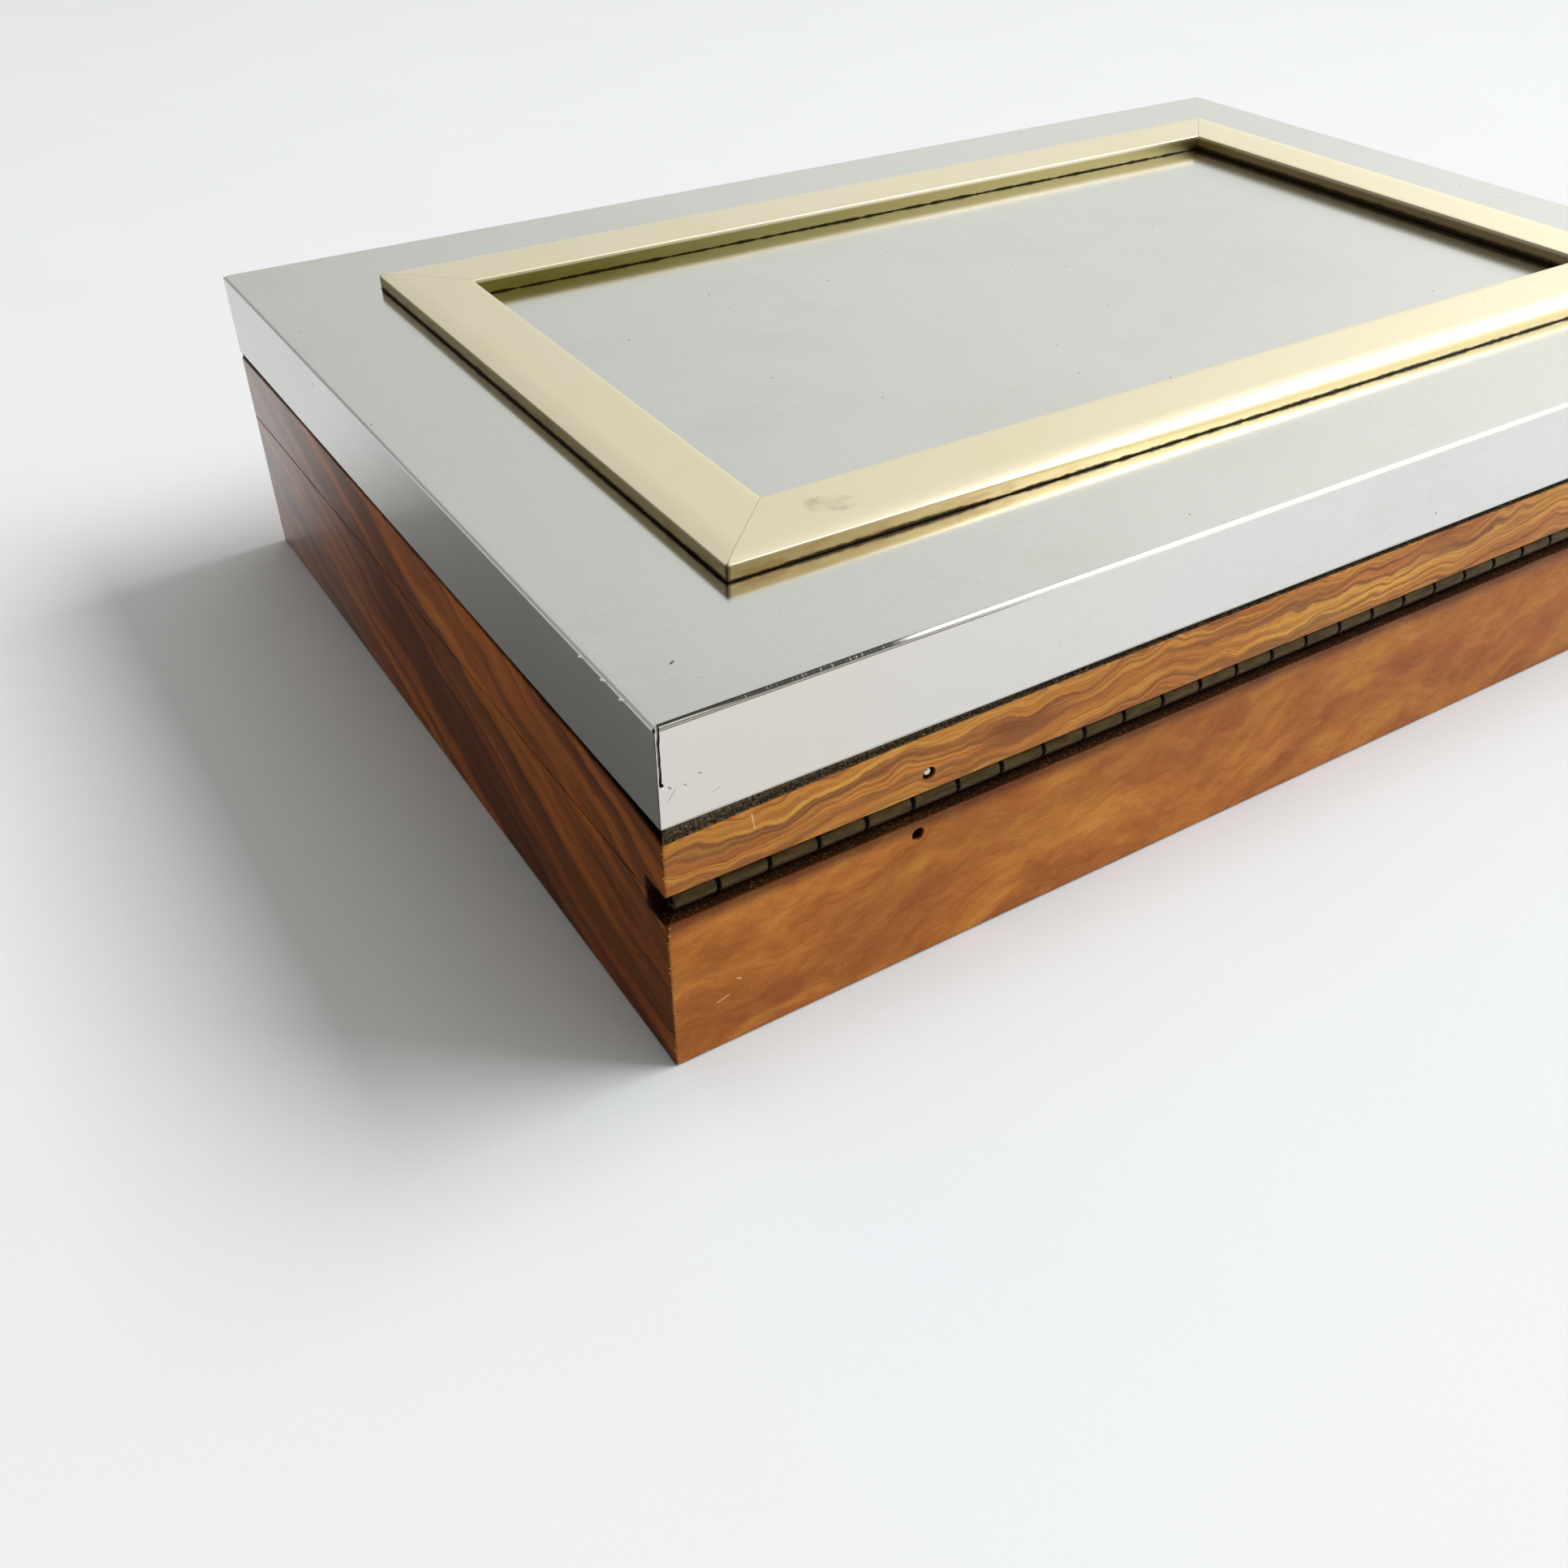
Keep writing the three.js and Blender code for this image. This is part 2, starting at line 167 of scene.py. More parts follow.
class Shader:
    """A node tree that is written as expressions."""

    def __init__(self, tree: bpy.types.NodeTree) -> None:
        """Start on an empty tree."""
        self.tree = tree
        tree.nodes.clear()

    def add(self, kind: str, settings: dict, sockets: dict, output: Union[int, str] = 0) -> Optional[Value]:
        """Add one node.

        Args:
            kind: The node's type.
            settings: Its settings, set first. "stops" holds a ramp's positions and colours.
            sockets: Values or links of its inputs, by name or index.
            output: The output that is wanted.

        Returns:
            That output, or nothing for a node without outputs.
        """
        node = self.tree.nodes.new(kind)
        for key, setting in settings.items():
            if key == "stops":
                self._set_stops(node.color_ramp, setting)
            else:
                setattr(node, key, setting)
        for key, value in sockets.items():
            if isinstance(value, Value):
                self.tree.links.new(value.socket, node.inputs[key])
            else:
                node.inputs[key].default_value = value
        return Value(self, node.outputs[output]) if node.outputs else None

    @staticmethod
    def _set_stops(ramp: bpy.types.ColorRamp, stops: Sequence[tuple[float, Colour]]) -> None:
        """Give a ramp its stops.

        Args:
            ramp: The ramp.
            stops: Position and colour of each stop.
        """
        while len(ramp.elements) < len(stops):
            ramp.elements.new(1.0)
        for element, (position, colour) in zip(ramp.elements, stops):
            element.position = position
            element.color = colour

    @cached_property
    def axes(self) -> tuple[Value, Value, Value]:
        """Place on the piece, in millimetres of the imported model's frame."""
        sockets = {0: self.add("ShaderNodeTexCoord", {}, {}, "Object"), "Scale": 1 / MM}
        return self.parts(self.add("ShaderNodeVectorMath", {"operation": "SCALE"}, sockets))

    def parts(self, vector: Value) -> tuple[Value, Value, Value]:
        """The three parts of a vector."""
        node = self.add("ShaderNodeSeparateXYZ", {}, {0: vector}).socket.node
        return Value(self, node.outputs[0]), Value(self, node.outputs[1]), Value(self, node.outputs[2])

    def vector(self, x: Number, y: Number, z: Number) -> Value:
        """A vector from its three parts."""
        return self.add("ShaderNodeCombineXYZ", {}, {0: x, 1: y, 2: z})

    def noise(self, place: Place, detail: float = 2.0, rough: float = 0.5) -> Value:
        """Soft noise about 0.5, with features about one unit across."""
        sockets = {"Vector": self.vector(*place), "Scale": 1.0, "Detail": detail, "Roughness": rough}
        return self.add("ShaderNodeTexNoise", {"noise_dimensions": "3D"}, sockets)

    def specks(self, place: Place) -> Value:
        """Distance to the nearest of scattered points, one in each unit cell."""
        sockets = {"Vector": self.vector(*place), "Scale": 1.0}
        return self.add("ShaderNodeTexVoronoi", {"feature": "F1"}, sockets)

    def ramp(self, value: Value, stops: Sequence[tuple[float, Colour]]) -> Value:
        """A colour that follows a value."""
        return self.add("ShaderNodeValToRGB", {"stops": stops}, {0: value})

    def mix(self, share: Number, first: Paint, second: Paint, blend: str = "MIX") -> Value:
        """Mix two colours."""
        settings = {"data_type": "RGBA", "blend_type": blend, "clamp_factor": True}
        return self.add("ShaderNodeMix", settings, {0: share, 6: first, 7: second}, 2)

    def over(self, colour: Paint, *layers: tuple[Number, Paint]) -> Paint:
        """Lay colours over a colour.

        Args:
            colour: The colour below.
            layers: How much of each colour to lay on, and that colour.

        Returns:
            The colour on top.
        """
        for share, laid in layers:
            colour = self.mix(share, colour, laid)
        return colour

    def stroke(self, across: Value, height: Value, mark: Mark) -> Value:
        """A mask along a mark.

        Args:
            across: Place along the surface.
            height: Place up the surface.
            mark: The mark.

        Returns:
            1 on the mark and 0 beside it.
        """
        run = (mark.end[0] - mark.start[0], mark.end[1] - mark.start[1])
        reach = run[0] ** 2 + run[1] ** 2
        from_start = across - mark.start[0]
        above_start = height - mark.start[1]
        share = ((from_start * run[0] + above_start * run[1]) / reach).most(0.0).least(1.0)
        off_across = from_start - share * run[0]
        off_height = above_start - share * run[1]
        square = off_across * off_across + off_height * off_height
        return square.fall((mark.width / 4) ** 2, (mark.width / 2) ** 2)

    def bump(self, height: Value) -> Value:
        """A normal from a height in millimetres."""
        return self.add("ShaderNodeBump", {}, {"Strength": 1.0, "Distance": MM, "Height": height})

    def surface(self, sockets: dict) -> None:
        """End in a Principled surface with these sockets."""
        shader = self.add("ShaderNodeBsdfPrincipled", {}, sockets)
        self.add("ShaderNodeOutputMaterial", {}, {"Surface": shader})


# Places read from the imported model

@dataclass(frozen=True)
class Plan:
    """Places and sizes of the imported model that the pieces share."""

    half_length: float
    half_width: float
    wall: float
    base_top: float
    floor_top: float
    lid_bottom: float
    board_low: float
    board_high: float
    skirt_low: float
    cover_top: float
    frame_half_length: float
    frame_half_width: float
    bar_width: float
    bar_low: float
    bar_high: float
    axis_y: float
    axis_z: float
    hinge_end: float  # middle of the box to the end of the hinge
    barrel: float  # radius of the hinge's knuckles
    leaf_reach: float  # hinge axis to the far edge of a leaf
    brads: tuple[Point, ...]  # place along the back and height of the brads on the right
    skirt_gap: float = 1.1  # shadow gap between the cover's skirt and the wooden ledge

    @property
    def ledge(self) -> float:
        """Height of the ledge that the rails have under the cover."""
        return self.skirt_low - self.skirt_gap

    @classmethod
    def read(cls) -> "Plan":
        """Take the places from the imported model.

        Returns:
            The plan.
        """
        wall_low, wall_high = extent("base_front_wall")
        board_low, board_high = extent("lid_board")
        cover_low, cover_high = extent("lid_cover")
        bar_low, bar_high = extent("frame_back_bar")
        leaf_low, leaf_high = extent("hinge_lid_leaf")
        _, axis_y, axis_z = (place / MM for place in frame["joints"][0]["pos_m"])
        return cls(
            half_length=cover_high.x,
            half_width=cover_high.y,
            wall=wall_high.y - wall_low.y,
            base_top=wall_high.z,
            floor_top=extent("base_floor")[1].z,
            lid_bottom=extent("lid_front_rail")[0].z,
            board_low=board_low.z,
            board_high=board_high.z,
            skirt_low=cover_low.z,
            cover_top=cover_high.z,
            frame_half_length=extent("frame_right_bar")[1].x,
            frame_half_width=bar_high.y,
            bar_width=bar_high.y - bar_low.y,
            bar_low=bar_low.z,
            bar_high=bar_high.z,
            axis_y=axis_y,
            axis_z=axis_z,
            hinge_end=leaf_high.x,
            barrel=axis_z - leaf_low.z,
            leaf_reach=leaf_high.z - axis_z,
            brads=tuple(cls._middle(f"hinge_{part}_brad_1") for part in ("lid", "base")),
        )

    @staticmethod
    def _middle(node: str) -> Point:
        """Place along X and height of a node's middle."""
        low, high = extent(node)
        return (low.x + high.x) / 2, (low.z + high.z) / 2


PLAN = Plan.read()


class Side(Enum):
    """The four sides of the box, each with the way it faces."""

    BACK = (0.0, 1.0)
    RIGHT = (1.0, 0.0)
    FRONT = (0.0, -1.0)
    LEFT = (-1.0, 0.0)

    @property
    def label(self) -> str:
        """The side's name in the names of pieces."""
        return self.name.lower()

    @property
    def is_long(self) -> bool:
        """True for the back and the front."""
        return self in (Side.BACK, Side.FRONT)

    def reach(self, half_length: float, half_width: float) -> Point:
        """Half of the side's own length, and its distance from the middle."""
        return (half_length, half_width) if self.is_long else (half_width, half_length)

    def point(self, along: float, out: float, height: float) -> Vector:
        """A point from its place along the side, its distance from the middle and its height."""
        face_x, face_y = self.value
        return Vector((face_x * out + face_y * along, face_y * out - face_x * along, height))


# Finishes

class Finish:
    """A finish that pieces share. Its material is made at its first use."""

    name: str

    def material(self) -> bpy.types.Material:
        """The material of this finish.

        Returns:
            The material, which is new at the first call.
        """
        made = bpy.data.materials.get(self.name)
        if made is None:
            made = bpy.data.materials.new(self.name)
            made.use_nodes = True
            self.coat(Shader(made.node_tree))
        return made

    def coat(self, shader: Shader) -> None:
        """Write the finish into a shader."""
        raise NotImplementedError


class Grain(Enum):
    """The axis that a board's fibres follow."""

    ALONG_X = "x"
    ALONG_Y = "y"


@dataclass(frozen=True)
class FiguredWood(Finish):
    """Oiled hardwood whose dark lines flow in waves along the board."""

    name: str
    grain: Grain
    pale: Colour
    middle: Colour
    deep: Colour
    line: Colour
    slope: float  # how steeply the figure climbs along the board
    swell: float  # length of the long waves
    sway: float  # their height
    curl: float  # length of the short waves
    ripple: float  # their height
    run: float  # length of the soft bands
    band: float  # their spacing
    lines: float  # strength of the dark lines
    stripes: float  # strength of the broad dark stripes
    cloud: float  # strength of the cross figure
    sheen: float  # specular level of the oil
    far_polish: float = 0.0  # gloss that is left towards the front
    scratches: tuple[Mark, ...] = ()

    def coat(self, shader: Shader) -> None:
        """Write the wood into a shader."""
        x, y, z = shader.axes
        along, depth = self._board(shader)
        flow = self._flow(shader)
        fibre = shader.noise((along / 2.6, depth / 0.35, z / 0.35), 3.0, 0.65)
        streaks = shader.ramp(fibre, [(0.25, grey(0.1)), (0.7, grey(0.9))])
        colour = shader.mix(0.17, self._figure(shader, flow), streaks, "OVERLAY")
        pores = shader.noise((along / 2.2, depth / 0.2, flow / 0.2), 1.0).rise(0.66, 0.74)
        colour, soiled = self._soil_and_shade(shader, shader.mix(pores * 0.35, colour, self.line))
        scratches = [shader.stroke(along, z, scratch) * 0.8 for scratch in self.scratches]
        colour = shader.over(self._wear(shader, colour), *((share, paint("E6C596")) for share in scratches))
        polish = shader.noise((x / 9.0, y / 9.0, z / 6.0), 3.0)
        shader.surface({
            "Base Color": colour,
            "Roughness": 0.32 + polish * 0.16 + pores * 0.2 + soiled * 0.4,
            "Specular IOR Level": self.sheen,
            "Coat Weight": (0.0 - y).rise(5.0, 92.0) * self.far_polish,
            "Coat Roughness": 0.24,
            "Normal": shader.bump(fibre * 0.012 - pores * 0.02),
        })

    def _board(self, shader: Shader) -> tuple[Value, Value]:
        """Place along the fibres, and place into the board."""
        x, y, _ = shader.axes
        return (x, y) if self.grain is Grain.ALONG_X else (y, x)

    def _flow(self, shader: Shader) -> Value:
        """Height across the growth layers, swayed as the tree grew.

        Args:
            shader: The shader to write into.

        Returns:
            A value that is equal along each growth line.
        """
        along, depth = self._board(shader)
        height = shader.axes[2]
        long_wave = shader.noise((along / self.swell, depth / 40.0, height / 30.0), 1.0) - 0.5
        short_wave = shader.noise((along / self.curl, depth / 15.0, height / self.curl), 1.0) - 0.5
        tremor = shader.noise((along / 2.4, depth / 8.0, height / 2.4), 2.0) - 0.5
        return height + along * self.slope + long_wave * self.sway + short_wave * self.ripple + tremor * 1.1

    def _figure(self, shader: Shader, flow: Value) -> Paint:
        """Bands, lines and stripes that follow the growth layers.

        Args:
            shader: The shader to write into.
            flow: Place across the growth layers.

        Returns:
            The figure's colour.
        """
        along, depth = self._board(shader)
        soft = shader.noise((along / self.run, depth / 14.0, flow / self.band), 2.0, 0.55)
        cross = shader.noise(((along + flow * 1.1) / 9.0, depth / 20.0, flow / 13.0), 2.0)
        blotch = shader.noise((along / 4.6, depth / 9.0, shader.axes[2] / 3.0), 3.0, 0.62)
        wisp = shader.noise((along / 2.6, depth / 6.0, flow / 1.1), 3.0, 0.6)
        hair = shader.noise((along / self.run, depth / 10.0, flow / 0.6), 2.0, 0.65)
        first = abs(shader.noise((along / 150.0, depth / 30.0, flow / 4.2), 0.0) - 0.5)
        second = abs(shader.noise((along / 120.0, depth / 30.0, flow / 2.7 + 7.0), 0.0) - 0.52)
        third = abs(shader.noise((along / 70.0, depth / 20.0, flow / 1.3 + 2.0), 0.0) - 0.5)
        mellow = shader.noise((along / 34.0, depth / 40.0, flow / 22.0 + 5.0), 2.0)
        broad = shader.noise((along / 170.0, depth / 24.0, flow / (self.band * 2.2) + 6.3), 1.0)
        return shader.over(
            shader.ramp(soft, [(0.3, self.deep), (0.5, self.middle), (0.7, self.pale)]),
            (cross.rise(0.5, 0.72) * self.cloud, self.deep),
            (cross.fall(0.3, 0.48) * self.cloud * 0.7, self.pale),
            (blotch.rise(0.5, 0.7) * self.cloud * 0.6, self.deep),
            (blotch.fall(0.3, 0.48) * self.cloud * 0.6, self.pale),
            (wisp.rise(0.54, 0.72) * self.cloud * 0.55, self.pale),
            (wisp.fall(0.28, 0.44) * self.cloud * 0.5, self.line),
            (hair.rise(0.5, 0.62) * 0.8 * self.lines, self.deep),
            (hair.fall(0.36, 0.47) * 0.7 * self.lines, self.pale),
            (first.fall(0.006, 0.05) * self.lines, self.line),
            (second.fall(0.0, 0.045) * 0.75 * self.lines, self.line),
            (third.fall(0.0, 0.06) * 0.5 * self.lines, self.line),
            (mellow.rise(0.46, 0.66) * self.cloud * 0.6, self.line),
            (broad.rise(0.5, 0.62) * self.stripes, self.line),
        )

    @staticmethod
    def _soil_and_shade(shader: Shader, colour: Paint) -> tuple[Paint, Value]:
        """Painted shade in the hinge groove, under its lower lip and in the brad holes, and gritty glue on
        the ledge under the cover, painted near black as shadow on the short sides.

        Args:
            shader: The shader to write into.
            colour: The clean wood.

        Returns:
            The darkened wood, and a mask of the groove's painted shade and the ledge.
        """
        x, y, z = shader.axes
        inside_x, inside_y = PLAN.half_length - abs(x), PLAN.half_width - abs(y)
        inside = inside_x.least(inside_y)
        from_back = PLAN.half_width - y
        below = PLAN.axis_z - z
        grain = shader.noise((x / 0.45, y / 0.45, z / 0.45), 3.0, 0.7)
        ragged = grain - 0.5
        behind = from_back.rise(0.12, 0.6) * y.rise(60.0, 70.0)
        # painted shade in the hinge groove
        groove = (abs(below) + ragged * 1.4).fall(2.6, 3.1) * behind
        groove = groove * (inside_y + ragged * 2.0).fall(5.2, 6.2)
        stain_and_shade = shader.mix(grain.rise(0.45, 0.8), paint("0E0503"), paint("451808"))
        # painted shade on the base's lip, under the knuckles
        lip = below.rise(2.2, 2.5) * (below + ragged * 1.5).fall(2.6, 5.4) * from_back.fall(0.3, 0.6)
        colour = shader.over(colour, (groove * 0.96, stain_and_shade), (lip * 0.72, paint("3E1406")))
        # painted shade in the brad holes
        for hole_x, hole_z in PLAN.brads:
            off_x, off_z = abs(x) - hole_x, z - hole_z
            hole = (off_x * off_x + off_z * off_z).fall(1.2, 1.9) * behind * inside_y.fall(9.5, 10.0)
            colour = shader.mix(hole * 0.95, colour, paint("120A06"))
        ledge = z.rise(PLAN.ledge - 2.6, PLAN.ledge - 2.0) * inside.rise(0.22, 0.45) * inside.fall(1.5, 2.0)
        tones = [(0.36, paint("1A140E")), (0.54, paint("5E503C")), (0.74, paint("A8977A"))]
        grit = shader.ramp(grain, tones)
        # painted shadow under the skirt: the ledge near black on the short sides
        grit = shader.mix((inside_y - inside_x).rise(-0.3, 0.3) * 0.9, grit, paint("0C0907"))
        return shader.mix(ledge, colour, grit), groove.most(ledge)

    @staticmethod
    def _wear(shader: Shader, colour: Paint) -> Paint:
        """Rubbed upright corners and a darker line round the foot.

        Args:
            shader: The shader to write into.
            colour: The wood so far.

        Returns:
            The worn wood.
        """
        x, y, z = shader.axes
        corner = (PLAN.half_length - abs(x)).most(PLAN.half_width - abs(y))
        patch = shader.noise((x / 1.4, y / 1.4, z / 1.8), 3.0, 0.65)
        fleck = shader.specks((x / 2.6, y / 2.6, z / 2.0)).fall(0.03, 0.075)
        dots = shader.specks((x / 0.8, y / 0.8, z / 0.8)).fall(0.12, 0.24) * corner.fall(0.35, 0.7)
        return shader.over(
            colour,
            ((corner + patch * 1.6).fall(0.75, 1.1) * 0.34, paint("C08A50")),
            (fleck * patch.rise(0.45, 0.65) * 0.5, paint("E0AC62")),
            (dots * 0.7, paint("DDBB86")),
            ((z + patch * 0.8).fall(0.5, 1.3) * 0.4, paint("3B2414")),
        )


@dataclass(frozen=True)
class PlainBoard(Finish):
    """Unpolished straight-grained board."""

    name: str
    pale: Colour
    deep: Colour

    def coat(self, shader: Shader) -> None:
        """Write the board into a shader."""
        x, y, z = shader.axes
        sway = shader.noise((x / 90.0, y / 40.0, z / 20.0), 1.0) - 0.5
        ring = shader.noise((x / 260.0, (y + sway * 22.0) / 5.0, z / 6.0), 3.0, 0.6)
        fibre = shader.noise((x / 7.0, y / 0.4, z / 0.4), 3.0, 0.6)
        streaks = shader.ramp(fibre, [(0.25, grey(0.1)), (0.7, grey(0.9))])
        layers = shader.ramp(ring, [(0.3, self.deep), (0.68, self.pale)])
        colour = shader.mix(0.3, layers, streaks, "OVERLAY")
        blotch = shader.noise((x / 34.0, y / 26.0, z / 30.0), 3.0)
        shader.surface({
            "Base Color": shader.mix(blotch.rise(0.5, 0.75) * 0.3, colour, self.deep),
            "Roughness": 0.55 + fibre * 0.2,
            "Specular IOR Level": 0.35,
            "Normal": shader.bump(fibre * 0.03),
        })


@dataclass(frozen=True)
class CoverMetal(Finish):
    """Polished sheet, a little hazy, with specks, pits and fine scratches."""

    name: str
    bright: Colour
    back_skirt_shade: Colour  # of the long side towards the right
    haze: float
    scars: tuple[Mark, ...]  # pits and scratches on the long side
    pock: Mark  # on the top
    scratch: Mark  # on the top
    nicks: tuple[float, ...]  # places of the nicks in the right fold

    def coat(self, shader: Shader) -> None:
        """Write the metal into a shader."""
        x, y, z = shader.axes
        below = PLAN.cover_top - z
        from_end = PLAN.half_length - abs(x)
        from_back = PLAN.half_width - y
        cloud = shader.noise((x / 26.0, y / 26.0, z / 9.0), 4.0, 0.6)
        rub = shader.noise((x / 6.0, y / 0.3, z / 0.3), 2.0, 0.6)
        fine = shader.noise((x / 1.2, y / 1.2, z / 1.2), 4.0, 0.75)
        wave = shader.noise((x / 38.0, y / 38.0, z / 14.0), 1.0)
        pit = shader.specks((x / 7.5, y / 7.5, z / 7.5)).fall(0.018, 0.034)
        fleck = shader.specks((x / 3.7, y / 3.7, z / 3.7)).fall(0.016, 0.034)
        end_skirt_shade = from_end.fall(0.1, 0.3)
        on_back = from_back.fall(0.2, 0.4)
        on_top = below.fall(0.1, 0.2)
        scars = [shader.stroke(x, z, scar) * on_back * 0.6 for scar in self.scars]
        scratch = shader.stroke(x, y, self.scratch) * fine.rise(0.5, 0.6)
        hem = (z + cloud * 0.8).fall(PLAN.skirt_low + 0.55, PLAN.skirt_low + 0.9)
        band = self._fold_band(shader)
        # the end folds, rough from wear; the pale colour laid on them below is a painted highlight
        worn = from_end.fall(0.5, 0.7) * below.fall(0.5, 0.75)
        colour = shader.over(
            self.bright,
            (cloud.rise(0.45, 0.8) * 0.12, paint("B6B0A4")),
            # painted shade: the end skirts darker, most towards the back, standing in for their reflection
            # of the shadowed table
            (end_skirt_shade * (y.rise(-40.0, 60.0) * 0.52 + 0.3), paint("7E7C78")),
            (pit * 0.7, paint("4A4740")),
            (fleck * 0.5, grey(0.95)),
            (fine.rise(0.5, 0.72) * 0.1, paint("A29C90")),
            # painted shade: the long back skirt duller and darker towards the right end
            (on_back * x.rise(40.0, 125.0) * 0.8, self.back_skirt_shade),
            *((share, paint("3C3832")) for share in scars),
            (shader.stroke(x, y, self.pock) * on_top * 0.85, paint("2A2822")),
            (scratch * on_top * 0.35, paint("6A665C")),
            (self._frame_dirt(shader) * on_top * 0.85, paint("2A2514")),
            (hem * 0.4, paint("6E675A")),
            # painted shade on the long fold, partly its own dark marks, partly in place of its dark
            # reflection
            (band * 0.97, paint("1A1914")),
            # painted highlight along the end folds
            (worn * 0.8, grey(0.95)),
        )
        # painted highlights on the nicks in the right fold
        for place in self.nicks:
            slant = Mark((place + 0.4, PLAN.cover_top - 0.2), (place - 1.2, PLAN.cover_top - 1.1), 0.36)
            nick = shader.stroke(y, z, slant) * x.rise(PLAN.half_length - 0.5, PLAN.half_length - 0.3)
            colour = shader.mix(nick * 0.85, colour, grey(0.98))
            worn = worn.most(nick)
        in_seam = self._seams(shader)
        dull = band.most(in_seam) * 0.32
        shader.surface({
            "Base Color": shader.mix(in_seam, colour, paint("1C1A16")),
            "Metallic": 1.0,
            "Roughness": self.haze + cloud * 0.06 + rub * 0.03 + pit * 0.3 + worn * 0.32 + dull,
            "Normal": shader.bump(wave * 0.035 + fine * 0.0009 + rub * 0.0004 - pit * 0.03),
        })

    @staticmethod
    def _seams(shader: Shader) -> Value:
        """The dark inside of the open seams at the upright corners.

        Args:
            shader: The shader to write into.

        Returns:
            A mask of the seams.
        """
        x, y, z = shader.axes
        depth = PLAN.half_width - abs(y)
        beside = abs(abs(x) - PLAN.half_length + Cover.seam_inset).fall(0.36, 0.46)
        below = (PLAN.cover_top - z).rise(0.06, 0.14)
        return beside * below * depth.rise(0.03, 0.09) * depth.fall(0.45, 0.6)

    @staticmethod
    def _fold_band(shader: Shader) -> Value:
        """Painted shade on the long fold, partly its own dark marks and partly in place of its dark
        reflection, up to where the window's highlight starts: a dark band with fine bright cross lines, and
        a thin dark line below it.

        Args:
            shader: The shader to write into.

        Returns:
            A mask of the band and the line.
        """
        x, y, z = shader.axes
        below = PLAN.cover_top - z
        thinned = x.rise(117.0, 131.0) * 0.17
        lines = shader.noise((x / 0.16, y / 3.0, z / 3.0), 3.0, 0.75)
        upper = (below + thinned).fall(0.31, 0.37) * below.rise(0.003, 0.01) * x.rise(91.0, 101.0)
        upper = upper * lines.fall(0.58, 0.72).most(x.rise(121.0, 124.0))
        lower = below.rise(0.53, 0.56) * below.fall(0.65, 0.7) * x.rise(72.0, 86.0)
        return upper.most(lower * 0.85) * y.rise(PLAN.half_width - 0.8, PLAN.half_width - 0.7)

    @staticmethod
    def _frame_dirt(shader: Shader) -> Value:
        """Dark polish residue along the foot of the brass frame.

        Args:
            shader: The shader to write into.

        Returns:
            A mask of the residue.
        """
        x, y, _ = shader.axes
        half_x, half_y, width = PLAN.frame_half_length, PLAN.frame_half_width, PLAN.bar_width
        outside = (abs(x) - half_x).most(abs(y) - half_y)
        inside = (half_x - width - abs(x)).least(half_y - width - abs(y))
        ragged = (0.5 - shader.noise((x / 2.2, y / 2.2, 0.0), 3.0, 0.65)) * 0.8
        heavy = (x * 0.4 + y).rise(62.0, 106.0)
        outer = (outside + ragged - heavy * 0.16).fall(-0.1, 0.24) * outside.rise(-2.0, -1.0)
        inner = (inside + ragged).fall(-0.05, 0.25) * inside.rise(-2.0, -1.0)
        return outer.most(inner)


